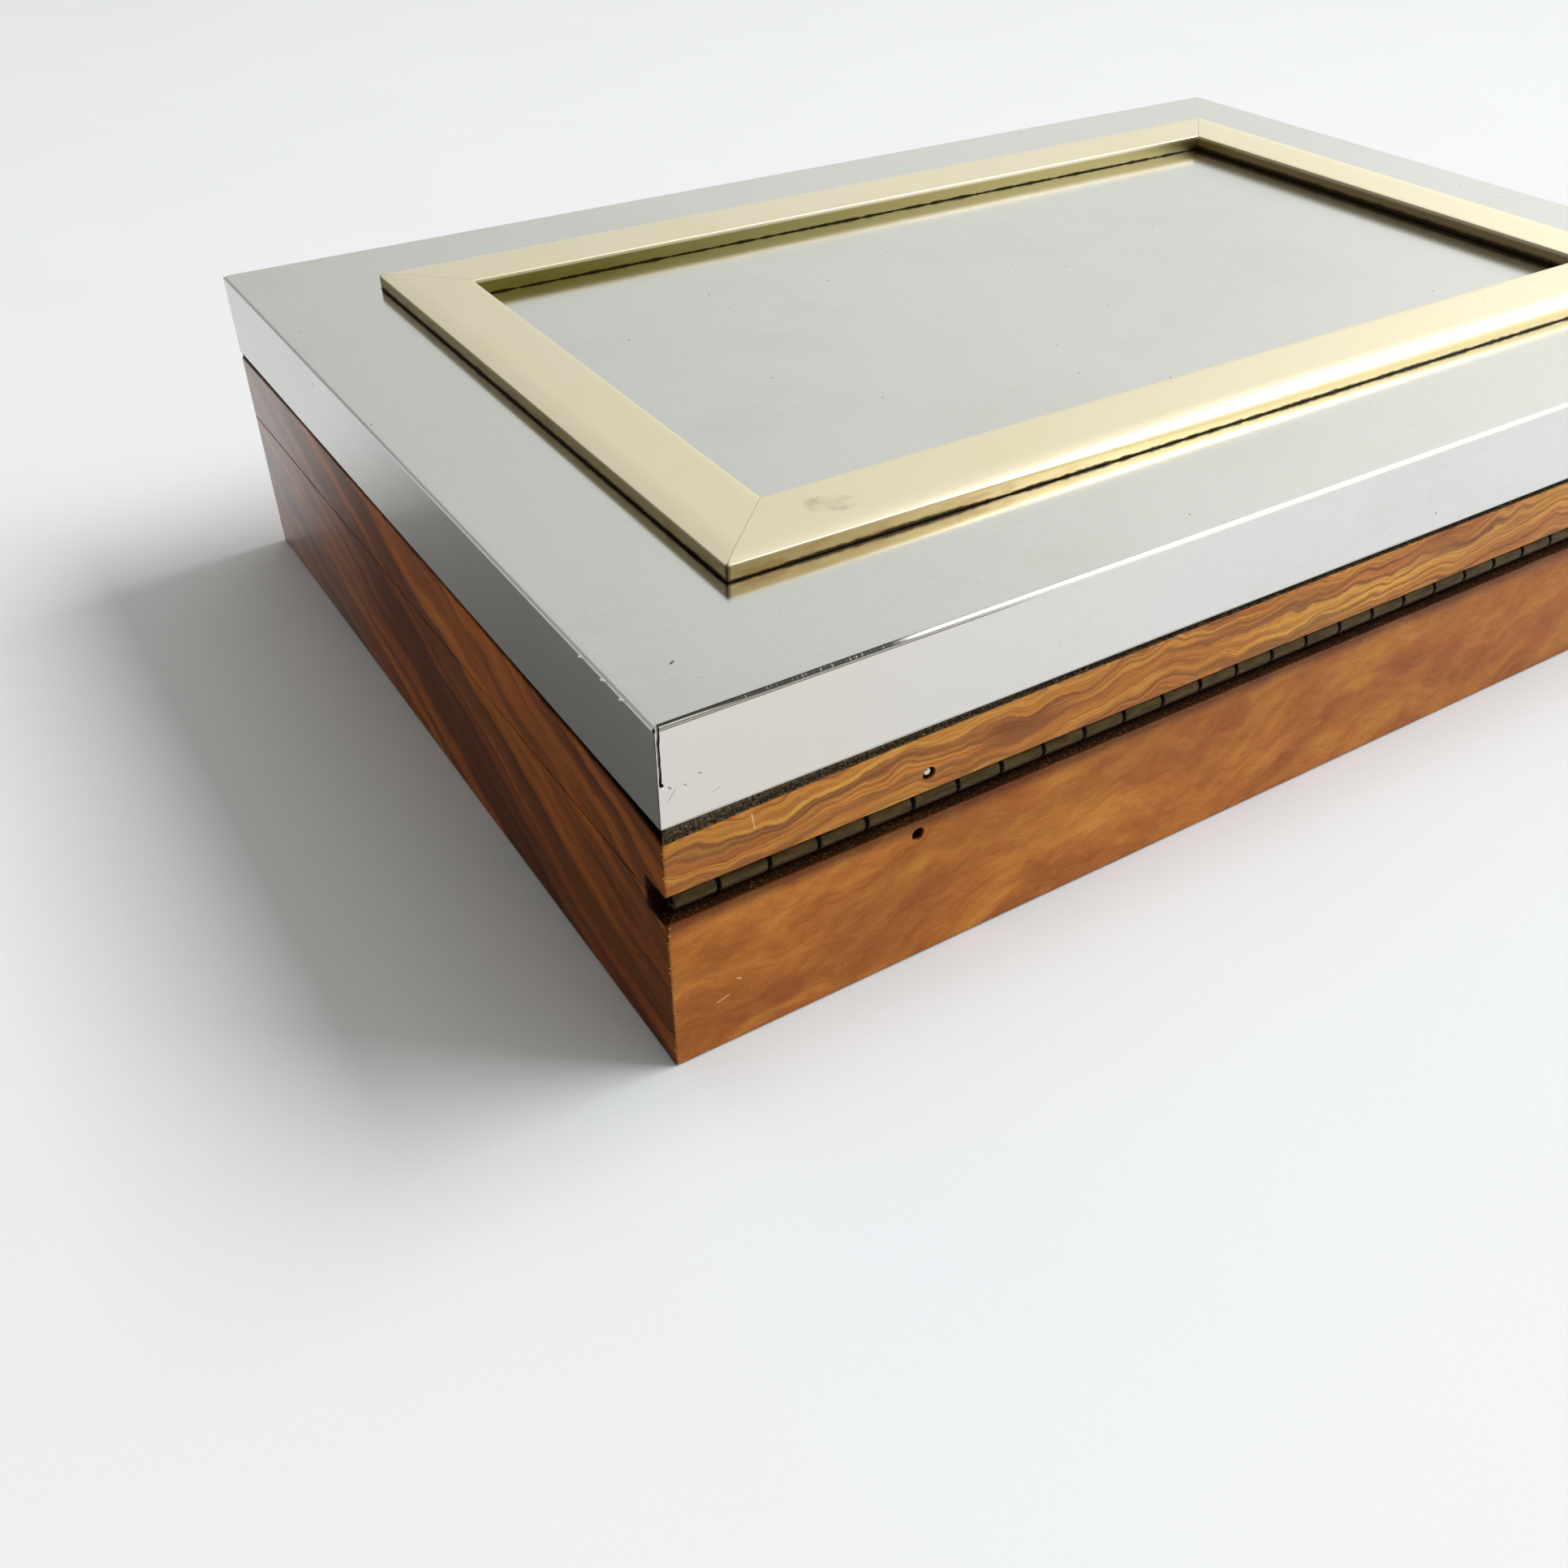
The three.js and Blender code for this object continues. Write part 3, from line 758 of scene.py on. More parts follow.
@dataclass(frozen=True)
class FrameBrass(Finish):
    """Polished bar brass with light tarnish, old residue and painted shade at its foot, and painted
    reflections and shade on its sides.
    """

    name: str
    bright: Colour
    tarnish: Colour
    smudge: Mark

    def coat(self, shader: Shader) -> None:
        """Write the brass into a shader."""
        x, y, z = shader.axes
        half_x, half_y = PLAN.frame_half_length, PLAN.frame_half_width
        from_end, from_side = half_x - abs(x), half_y - abs(y)
        above = z - PLAN.bar_low
        cloud = shader.noise((x / 16.0, y / 16.0, z / 5.0), 4.0, 0.6)
        mottle = shader.noise((x / 2.6, y / 2.6, z / 1.2), 3.0, 0.6)
        stain_and_shade = shader.noise((x / 7.0, y / 7.0, z / 1.6), 3.0, 0.6)
        rub = shader.noise((x / 3.0, y / 3.0, z / 0.15), 2.0)
        side = above.fall(2.2, 2.7)
        in_left = self._inner_side(x, half_x, y, half_y)
        in_front = self._inner_side(y, half_y, x, half_x)
        brown = (stain_and_shade - above * 0.12).rise(0.3, 0.52) * side * x.rise(25.0, 75.0)
        # dark band at the foot of the sides: residue, and painted shade where it reaches higher
        foot = ((above + (mottle - 0.5) * 0.8) / self._grime_and_shade(shader, in_left)).fall(0.4, 1.05)
        smudge = shader.stroke(x, y, self.smudge) * mottle.rise(0.3, 0.8)
        mitre = (abs(from_end - from_side) + cloud * 0.12).fall(0.08, 0.22)
        colour = shader.over(
            self.bright,
            (cloud.rise(0.42, 0.75) * 0.4, self.tarnish),
            # painted reflections and shade: the sides paler than the top, darker towards the right end, and
            # the inner sides of the left and front bars darker
            (side * 0.55, paint("E4CF86")),
            (side * x.rise(35.0, 90.0) * 0.55, paint("8E7230")),
            (brown * 0.35, paint("8C5A22")),
            (in_left * side * 0.6, paint("76522A")),
            (in_front * side * (x.rise(-90.0, 90.0) * 0.3 + 0.5), paint("7A7426")),
            (foot * 0.92, paint("2A2310")),
            (smudge * 0.5, paint("9C8E84")),
            (mitre * 0.35, paint("A4988F")),
            (from_end.most(from_side).fall(0.25, 0.8) * 0.75, paint("4A3A1A")),
        )
        shader.surface({
            "Base Color": colour,
            "Metallic": 1.0,
            "Roughness": 0.31 + cloud * 0.08 + foot * 0.3 + smudge * 0.15,
            "Normal": shader.bump(cloud * 0.012 + rub * 0.001),
        })

    @staticmethod
    def _grime_and_shade(shader: Shader, in_left: Value) -> Value:
        """Height of the dark band on the sides of the bars: black residue, and painted shade that reaches
        higher on the outer side of the right bar and the inner side of the left bar.

        Args:
            shader: The shader to write into.
            in_left: A mask of the inner side of the left bar.

        Returns:
            The height in millimetres.
        """
        x, y, _ = shader.axes
        back = y.rise(PLAN.frame_half_width - 0.1, PLAN.frame_half_width - 0.03)
        right = x.rise(PLAN.frame_half_length - 0.1, PLAN.frame_half_length - 0.03)
        near_corner = x.rise(66.0, 76.0) * x.fall(96.0, 100.0)
        return 0.36 + back * (near_corner * 0.4 + 0.12) + right * 0.4 + in_left

    @staticmethod
    def _inner_side(across: Value, half_across: float, along: Value, half_along: float) -> Value:
        """A mask of the inner side of the bar that lies at the low end of an axis."""
        within = (half_along - PLAN.bar_width - abs(along)).rise(-0.1, 0.0)
        return abs(across + half_across - PLAN.bar_width).fall(0.06, 0.2) * within


@dataclass(frozen=True)
class OldMetal(Finish):
    """Small metal parts that have darkened with age."""

    name: str
    bright: Colour
    dark: Colour
    gloss: float  # roughness of the rubbed places
    soiled: float  # how much of the metal is dark, from 0 to 1

    def coat(self, shader: Shader) -> None:
        """Write the metal into a shader."""
        x, y, z = shader.axes
        patch = shader.noise((x / 2.2, y / 1.1, z / 1.1), 4.0, 0.65)
        drawn = shader.noise((x / 4.0, y / 0.25, z / 0.25), 2.0)
        dull = (patch + drawn * 0.3).rise(0.85 - self.soiled * 0.6, 1.1 - self.soiled * 0.6)
        shader.surface({
            "Base Color": shader.mix(dull, self.bright, self.dark),
            "Metallic": 1.0 - dull * 0.5,
            "Roughness": self.gloss + dull * 0.3,
            "Normal": shader.bump(drawn * 0.006 + patch * 0.01),
        })


@dataclass(frozen=True)
class HingeBrass(Finish):
    """Dull brass of the hinge, with grime in the joints between its knuckles and painted shade on their
    lower side.
    """

    name: str
    bright: Colour
    dark: Colour
    # colour of the grime in the joints and of the painted shade below
    joint_grime_and_shade: Colour
    joint: float  # place of one joint along X
    pitch: float

    def coat(self, shader: Shader) -> None:
        """Write the brass into a shader."""
        x, y, z = shader.axes
        patch = shader.noise((x / 4.6, y / 1.6, z), 3.0, 0.6)
        drawn = shader.noise((x / 5.0, y / 0.2, z / 0.2), 2.0)
        dirt_and_shade = ((x - self.joint).swing(self.pitch / 2) + patch * 0.5).fall(0.48, 0.82)
        # painted shade on the lower side of the knuckles
        dirt_and_shade = dirt_and_shade.most((z - PLAN.axis_z + patch * 0.5).fall(-0.7, 0.2) * 0.6)
        colour = shader.over(
            self.bright,
            (patch.rise(0.34, 0.7), self.dark),
            (drawn.rise(0.5, 0.7) * 0.35, self.dark),
            (dirt_and_shade, self.joint_grime_and_shade),
        )
        shader.surface({
            "Base Color": colour,
            "Metallic": 0.9 - dirt_and_shade * 0.6,
            "Roughness": 0.46 + drawn * 0.1 + dirt_and_shade * 0.3,
            "Normal": shader.bump(drawn * 0.006 + patch * 0.008),
        })


@dataclass(frozen=True)
class TablePaper(Finish):
    """Matt white table top, with a painted cool tint in front of the back wall that offsets the warm light
    the wood throws.
    """

    name: str
    white: Colour
    cool: Colour

    def coat(self, shader: Shader) -> None:
        """Write the table top into a shader."""
        x, y, z = shader.axes
        tooth = shader.noise((x / 0.9, y / 0.9, z / 0.9), 3.0, 0.6)
        cloud = shader.noise((x / 60.0, y / 60.0, z / 60.0), 2.0)
        shade = shader.ramp(cloud * 0.5 + tooth * 0.5, [(0.3, grey(0.975)), (0.7, grey(1.0))])
        # painted cool tint that offsets the warm bounce light from the wood
        near_wood = y.rise(80.0, 95.0) * y.fall(95.0, 210.0) * x.fall(120.0, 170.0)
        white = shader.mix(near_wood, self.white, self.cool)
        shader.surface({
            "Base Color": shader.mix(1.0, white, shade, "MULTIPLY"),
            "Roughness": 0.75,
            "Specular IOR Level": 0.2,
            "Normal": shader.bump(tooth * 0.02),
        })


# Mesh making

class Draft:
    """A mesh in the making. Its points are given in millimetres."""

    def __init__(self) -> None:
        """Start an empty mesh."""
        self.mesh = bmesh.new()

    def skin(self, rings: Sequence[Sequence[Vector]], looped: bool = False) -> "Draft":
        """Lay faces between rings of equal count.

        Args:
            rings: The rings, in order.
            looped: True if the last ring joins the first. The two ends are closed otherwise.

        Returns:
            This draft.
        """
        rows = [[self.mesh.verts.new(point * MM) for point in ring] for ring in rings]
        for lower, upper in zip(rows, rows[1:] + rows[:1] if looped else rows[1:]):
            for place, vertex in enumerate(lower):
                after = (place + 1) % len(lower)
                self.mesh.faces.new((vertex, lower[after], upper[after], upper[place]))
        if not looped:
            ends = [self.mesh.faces.new(rows[0]), self.mesh.faces.new(rows[-1])]
            bmesh.ops.triangulate(self.mesh, faces=ends)
        return self

    def make(self, name: str) -> Piece:
        """End the draft in an object of the scene.

        Args:
            name: The object's name.

        Returns:
            The object.
        """
        bmesh.ops.recalc_face_normals(self.mesh, faces=self.mesh.faces)
        data = bpy.data.meshes.new(name)
        self.mesh.to_mesh(data)
        self.mesh.free()
        made = bpy.data.objects.new(name, data)
        bpy.context.scene.collection.objects.link(made)
        return made


def arc(centre: Point, radius: float, start: float, end: float, steps: int) -> list[Point]:
    """Points on an arc, both ends included. Its angles are in degrees."""
    angles = [math.radians(start + (end - start) * step / steps) for step in range(steps + 1)]
    return [(centre[0] + radius * math.cos(a), centre[1] + radius * math.sin(a)) for a in angles]


def turned(profile: Sequence[Point], pose: Matrix, sides: int = 24) -> list[list[Vector]]:
    """Rings of a turned piece.

    Args:
        profile: Radius and height of each ring.
        pose: Places the turned axis, which is Z.
        sides: The number of points in a ring.

    Returns:
        The rings.
    """
    turns = [2 * math.pi * side / sides for side in range(sides)]
    return [[pose @ Vector((radius * math.cos(t), radius * math.sin(t), height)) for t in turns]
            for radius, height in profile]


def length_tool(outline: Sequence[Point], reach: float, name: str) -> Piece:
    """A tool along X with an outline in Y and Z."""
    rings = [[Vector((x, y, z)) for y, z in outline] for x in (-reach, reach)]
    return Draft().skin(rings).make(name)


def carve(piece: Piece, tools: Sequence[Piece]) -> None:
    """Take tools away from a piece. The tools stay for other pieces.

    Args:
        piece: The piece.
        tools: The tools, in place.
    """
    for tool in tools:
        cut = piece.modifiers.new("cut", "BOOLEAN")
        cut.operation = "DIFFERENCE"
        cut.solver = "EXACT"
        cut.use_self = True
        cut.object = tool
    graph = bpy.context.evaluated_depsgraph_get()
    carved = bpy.data.meshes.new_from_object(piece.evaluated_get(graph))
    carved.name = piece.data.name
    piece.modifiers.clear()
    piece.data = carved


def put_away(tools: Sequence[Piece]) -> None:
    """Remove tools from the scene."""
    for tool in tools:
        bpy.data.meshes.remove(tool.data)


def fit(piece: Piece, body: str, finish: Finish, nodes: Sequence[str],
        crease: float = 32.0) -> None:
    """Finish a piece and put it on its body.

    Args:
        piece: The piece, in place.
        body: The body that it moves with.
        finish: Its finish.
        nodes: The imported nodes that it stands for.
        crease: The angle in degrees from which an edge is sharp.
    """
    piece.data.shade_smooth()
    piece.data.set_sharp_from_angle(angle=math.radians(crease))
    shading = piece.modifiers.new("even_shading", "WEIGHTED_NORMAL")
    shading.keep_sharp = True
    piece.data.materials.clear()
    piece.data.materials.append(finish.material())
    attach(piece, body)
    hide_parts(*nodes)
    LOG.info("%s on %s, %d faces", piece.name, body, len(piece.data.polygons))


# Pieces

@dataclass(frozen=True)
class MitredLength:
    """One of four lengths round a rectangle, mitred at both ends, with rounded upright corners."""

    side: Side
    half: float  # half of the outer face's length
    face: float  # middle of the box to the outer face
    corner: float  # radius of the upright corners
    gap: float = 0.04  # between two mitres
    tuck: float = 0.02  # keeps the rings at a mitre apart
    turns: int = 3  # steps of a corner, up to the mitre

    def rings(self, section: Callable[[Side, float], list[Point]], step: float) -> list[list[Vector]]:
        """Rings of the length, from one mitre to the other.

        Args:
            section: Gives the outline on a side, at a place along it.
            step: Distance between two rings.

        Returns:
            The rings.
        """
        count = max(2, round(2 * self.half / step))
        shares = [2 * place / count - 1 for place in range(1, count)]
        between = [self._ring(section(self.side, share * self.half), share) for share in shares]
        ends = range(self.turns + 1)
        first = [self._end(section(self.side, -self.half), -1, turn / self.turns) for turn in reversed(ends)]
        last = [self._end(section(self.side, self.half), 1, turn / self.turns) for turn in ends]
        return first + between + last

    def _ring(self, outline: list[Point], share: float) -> list[Vector]:
        """A ring between the ends. Deeper points lie closer together, as the mitres need."""
        return [self.side.point(share * (self.half - max(depth, self.corner)), self.face - depth, height)
                for depth, height in outline]

    def _end(self, outline: list[Point], sign: int, turn: float) -> list[Vector]:
        """A ring on the way round a corner.

        Args:
            outline: The outline at that end.
            sign: Which end, 1 or -1.
            turn: 0 where the corner starts and 1 on the mitre.

        Returns:
            The ring.
        """
        angle = turn * math.pi / 4
        ring = []
        for depth, height in outline:
            rest = max(self.corner - depth, 0.0)
            along = self.half - depth - rest * (1 - math.sin(angle)) - self.gap / 2
            if rest == 0:
                along -= self.tuck * (1 - turn)
            out = self.face - depth - rest * (1 - math.cos(angle))
            ring.append(self.side.point(sign * along, out, height))
        return ring


@dataclass
class Timber:
    """The walls of the base, the rails of the lid, and the two boards."""

    floor_lap: float = 5.0
    board_lap: float = 5.0
    glue: float = 0.05
    recess: float = 1.1  # depth of the rebate that takes the cover's skirt
    foot: float = 0.6  # rounding of the lower edge
    edge: float = 0.35  # rounding of the inner edges
    joint_edge: float = 0.16  # rounding where lid and base meet
    lip: float = 0.28  # rounding of the groove's lips
    corner: float = 0.45
    groove: float = 2.58  # radius of the hinge groove
    groove_margin: float = 2.0  # how far the groove's tool stands proud
    kerf_near: float = 3.18  # back face to the saw kerf
    kerf_far: float = 4.08
    kerf_reach: float = 8.1  # hinge axis to the end of the kerf
    kerf_end: float = 133.2
    brad_clearance: float = 0.12
    brad_sides: int = 22  # of a brad's hole
    back_step: float = 1.0  # between the rings of a length
    front_step: float = 4.0
    end_step: float = 2.0
    chip: float = 1.75  # how far the ledge has worn down at the corner by the hinge
    chip_run: float = 34.0  # how far along the back that wear runs
    side_chip_run: float = 6.0
    side_rise: float = 0.42  # how far the ledge of the right rail comes up to the skirt

    def build(self) -> None:
        """Make the eight lengths of wood and finish the two boards."""
        hinge_cuts = [self._groove_tool(), self._kerf_tool()]
        brad_cuts = {part: [self._brad_hole(f"hinge_{part}_brad_{which}") for which in (1, 2)]
                     for part in ("base", "lid")}
        kinds = (("base", "wall", self.wall_section), ("lid", "rail", self.rail_section))
        for side in Side:
            for part, kind, section in kinds:
                self._length(side, part, kind, section, hinge_cuts, brad_cuts[part])
        put_away(hinge_cuts + brad_cuts["base"] + brad_cuts["lid"])
        for node in ("base_floor", "lid_board"):
            board = frame["nodes"][node]
            board.data.materials.clear()
            board.data.materials.append(INNER_WOOD.material())
            LOG.info("%s keeps its solid", node)

    def _length(self, side: Side, part: str, kind: str, section: Callable[[Side, float], list[Point]],
                hinge_cuts: list[Piece], brad_cuts: list[Piece]) -> None:
        """Make one wall or rail.

        Args:
            side: The side that it stands on.
            part: base or lid.
            kind: wall or rail.
            section: Gives its outline.
            hinge_cuts: Tools of the hinge groove, for the short sides.
            brad_cuts: Tools of the brad holes, for the back.
        """
        half, face = side.reach(PLAN.half_length, PLAN.half_width)
        step = {Side.BACK: self.back_step, Side.FRONT: self.front_step}.get(side, self.end_step)
        cuts = {Side.BACK: brad_cuts, Side.FRONT: []}.get(side, hinge_cuts)
        name = f"{part}_{side.label}_{kind}"
        rings = MitredLength(side, half, face, self.corner).rings(section, step)
        piece = Draft().skin(rings).make(f"wood_{name}")
        if cuts:
            carve(piece, cuts)
        finish = SHORT_WOOD if not side.is_long else LID_WOOD if part == "lid" else BASE_WOOD
        fit(piece, part, finish, [name])

    def wall_section(self, side: Side, along: float) -> list[Point]:
        """Outline of a wall of the base.

        Args:
            side: The side that it stands on.
            along: Place along it.

        Returns:
            The outline, from the foot up.
        """
        foot = self.foot + 0.12 * wobble(along, 9.0, 1.7)
        outline = arc((foot, foot), foot, 270, 180, 4)
        if side is Side.BACK:
            lip = PLAN.axis_z - self.groove + 0.1 * wobble(along, 2.6, 5.1) + 0.05 * wobble(along, 1.3, 8.3)
            outline += arc((self.lip, lip - self.lip), self.lip, 180, 90, 3)
            outline += self._groove_outline(-1)
        else:
            outline += arc((self.joint_edge, PLAN.base_top - self.joint_edge), self.joint_edge, 180, 90, 3)
        outline += arc((PLAN.wall - self.edge, PLAN.base_top - self.edge), self.edge, 90, 0, 3)
        rebate, lap = PLAN.floor_top + self.glue, PLAN.wall - self.floor_lap
        return outline + [(PLAN.wall, rebate), (lap, rebate), (lap, 0.0)]

    def rail_section(self, side: Side, along: float) -> list[Point]:
        """Outline of a rail of the lid.

        Args:
            side: The side that it stands on.
            along: Place along it.

        Returns:
            The outline, from the lower outer edge up.
        """
        if side is Side.BACK:
            lip = PLAN.axis_z + self.groove + 0.06 * wobble(along, 3.1, 2.2)
            outline = arc((self.lip, lip + self.lip), self.lip, 270, 180, 3)
        else:
            outline = arc((self.joint_edge, PLAN.lid_bottom + self.joint_edge), self.joint_edge, 270, 180, 3)
        ledge = self._ledge(side, along)
        outline += arc((self.edge, ledge - self.edge), self.edge, 180, 90, 3)
        rebate, lap = PLAN.board_low - self.glue, PLAN.wall - self.board_lap
        outline += [
            (self.recess, ledge + 0.07 * wobble(along, 1.5, 9.4)),
            (self.recess, PLAN.board_high - self.edge),
            (self.recess + self.edge, PLAN.board_high),
            (lap, PLAN.board_high),
            (lap, rebate),
            (PLAN.wall, rebate),
        ]
        outline += arc((PLAN.wall - self.edge, PLAN.lid_bottom + self.edge), self.edge, 360, 270, 3)
        return outline + (self._groove_outline(1) if side is Side.BACK else [])

    def _ledge(self, side: Side, along: float) -> float:
        """Height of a rail's ledge, which has worn at the corner by the hinge.

        Args:
            side: The rail's side.
            along: Place along it.

        Returns:
            The height.
        """
        level = PLAN.ledge + 0.05 * wobble(along, 1.9, 3.3) + 0.04 * wobble(along, 6.0, 4.9)
        if side is Side.BACK:
            level -= self.chip * math.exp((along - PLAN.half_length) / self.chip_run)
        if side is Side.RIGHT:
            near, far = PLAN.half_width + along, PLAN.half_width - along
            level += self.side_rise * ease(near, 8.0, 80.0) * ease(far, 0.0, 40.0)
            level -= self.chip * math.exp(-near / self.side_chip_run)
        return level

    def _groove_outline(self, up: int) -> list[Point]:
        """The round-nosed groove and the saw kerf in it.

        Args:
            up: 1 in the lid and -1 in the base.

        Returns:
            The points, from the base's lip inward or from inside to the lid's lip.
        """
        axis = (PLAN.half_width - PLAN.axis_y, PLAN.axis_z)
        meeting = PLAN.lid_bottom if up > 0 else PLAN.base_top
        inner = math.degrees(math.asin((meeting - axis[1]) / self.groove))
        far, near = (math.degrees(math.acos((depth - axis[0]) / self.groove)) * up
                     for depth in (self.kerf_far, self.kerf_near))
        bottom = axis[1] + up * self.kerf_reach
        points = arc(axis, self.groove, inner, far, 5)
        points += [(self.kerf_far, bottom), (self.kerf_near, bottom)]
        points += arc(axis, self.groove, near, 90 * up, 2)
        return points if up > 0 else points[::-1]

    def _groove_tool(self) -> Piece:
        """A tool of the hinge groove, through both end faces.

        Returns:
            The tool.
        """
        mouth = PLAN.half_width + self.groove_margin
        nose = arc((PLAN.axis_y, PLAN.axis_z), self.groove, 90, 270, 14)
        outline = [(mouth, PLAN.axis_z - self.groove), (mouth, PLAN.axis_z + self.groove)] + nose
        return length_tool(outline, PLAN.half_length + self.groove_margin, "tool_groove")

    def _kerf_tool(self) -> Piece:
        """A tool of the saw kerf that takes the hinge leaves.

        Returns:
            The tool.
        """
        near, far = PLAN.half_width - self.kerf_near, PLAN.half_width - self.kerf_far
        low, high = PLAN.axis_z - self.kerf_reach, PLAN.axis_z + self.kerf_reach
        return length_tool([(near, low), (near, high), (far, high), (far, low)], self.kerf_end, "tool_kerf")

    def _brad_hole(self, node: str) -> Piece:
        """A tool of the slightly ragged hole of a brad, which flares at the face.

        Args:
            node: The brad's node.

        Returns:
            The tool.
        """
        low, high = extent(node)
        middle = (low + high) / 2
        radius = (high.x - low.x) / 2 + self.brad_clearance
        turns = [2 * math.pi * side / self.brad_sides for side in range(self.brad_sides)]
        ragged = [1 + 0.07 * wobble(3 * turn, 1.0, middle.x) for turn in turns]
        face = PLAN.half_width
        rings = []
        for y, flare in ((low.y - self.brad_clearance, 1.0), (face - 0.3, 1.1), (face + 1.0, 1.1)):
            reaches = [radius * flare * share for share in ragged]
            rings.append([Vector((middle.x + reach * math.cos(turn), y, middle.z + reach * math.sin(turn)))
                          for reach, turn in zip(reaches, turns)])
        return Draft().skin(rings).make(f"tool_{node}")


@dataclass
class Cover:
    """The folded sheet over the lid: four skirts, rounded folds and open seams at the upright corners."""

    sheet: float = 1.0
    fold: float = 0.75  # outside radius of the folds
    hem: float = 0.14  # rounding of the lower edge
    corner: float = 0.28  # radius of the upright corners
    least_corner: float = 0.04
    station: float = 6.0  # between the points along a side
    seam: float = 0.52
    seam_inset: float = 0.42  # corner to the middle of its seam
    seam_depth: float = 0.85
    corners: tuple[Point, ...] = ((1, 1), (1, -1), (-1, -1), (-1, 1))  # signs, clockwise from the hinge
    seam_ends: tuple[float, ...] = (51.2, 49.4, 52.6, 50.3)  # heights where the seams close
    nicks: tuple[float, ...] = (72.6, 78.9, 84.0)  # places of the nicks in the right fold

    def build(self) -> None:
        """Make the cover and cut its seams and nicks."""
        top, low = PLAN.cover_top, PLAN.skirt_low
        levels = [(self.sheet, top - self.sheet), (self.sheet, low + self.hem)]
        levels += [(self.sheet - self.hem, low), (self.hem, low)]
        levels += arc((self.hem, low + self.hem), self.hem, 270, 180, 3)[1:]
        levels += arc((self.fold, top - self.fold), self.fold, 180, 90, 6)
        levels += [(self.fold + 0.6, top), (PLAN.half_width / 2, top)]
        piece = Draft().skin([self._ring(inset, height) for inset, height in levels]).make("metal_lid_cover")
        tools = [self._seam_tool(corner, end) for corner, end in zip(self.corners, self.seam_ends)]
        tools += [self._nick_tool(place) for place in self.nicks]
        carve(piece, tools)
        put_away(tools)
        fit(piece, "lid", COVER_METAL, ["lid_cover"], crease=24.0)

    def _ring(self, inset: float, height: float) -> list[Vector]:
        """A rectangle with small round corners.

        Args:
            inset: Distance inside the outer face.
            height: Its height.

        Returns:
            Its points, with stations along each side.
        """
        radius = max(self.corner - inset, self.least_corner)
        ring = []
        for side in Side:
            half, face = side.reach(PLAN.half_length, PLAN.half_width)
            count = round(2 * half / self.station)
            straight, out = half - inset - radius, face - inset
            shares = [2 * place / count - 1 for place in range(count + 1)]
            ring += [side.point(straight * share, out, height) for share in shares]
            for angle in (math.pi / 6, math.pi / 3):
                along, back = straight + radius * math.sin(angle), radius * (1 - math.cos(angle))
                ring.append(side.point(along, out - back, height))
        return ring

    def _seam_tool(self, corner: Point, end: float) -> Piece:
        """A tool of a corner's open seam, which narrows downward and ends in a nick.

        Args:
            corner: The corner's signs.
            end: Height where the seam closes.

        Returns:
            The tool.
        """
        draft = Draft()
        rings = []
        levels = [end + (PLAN.cover_top + 0.4 - end) * share / 9 for share in range(10)]
        for height in reversed(levels):
            middle = corner[0] * (PLAN.half_length - self.seam_inset + 0.17 * wobble(height, 1.7, corner[0]))
            width = self.seam * (0.7 + 0.3 * (height - end) / (PLAN.cover_top - end)) / 2
            ends = ((-1, -self.seam_depth), (1, -self.seam_depth), (1, 1.0), (-1, 1.0))
            rings.append([Vector((middle + side * width, corner[1] * (PLAN.half_width + out), height))
                          for side, out in ends])
        draft.skin(rings)
        nick = Matrix.Translation((rings[-1][0].x, corner[1] * (PLAN.half_width + 0.05), end))
        nick = nick @ Matrix.Rotation(math.radians(28 * corner[0]), 4, "Y")
        draft.skin(turned([(0.05, -0.5), (0.2, -0.3), (0.3, 0.0), (0.22, 0.3), (0.05, 0.5)], nick, 10))
        return draft.make("tool_seam")

    @staticmethod
    def _nick_tool(place: float) -> Piece:
        """A tool of a small slanting nick in the right fold.

        Args:
            place: Its place across the box.

        Returns:
            The tool.
        """
        size = 0.5 + 0.14 * wobble(place, 3.0, 6.0)
        pose = Matrix.Translation((PLAN.half_length - 0.06, place, PLAN.cover_top - 0.1))
        pose = pose @ Matrix.Rotation(math.radians(58), 4, "X") @ Matrix.Diagonal((0.75, 0.6, 2.4, 1.0))
        profile = [(0.02, -size), (size * 0.8, 0.0), (0.02, size)]
        return Draft().skin(turned(profile, pose, 7)).make("tool_burr")


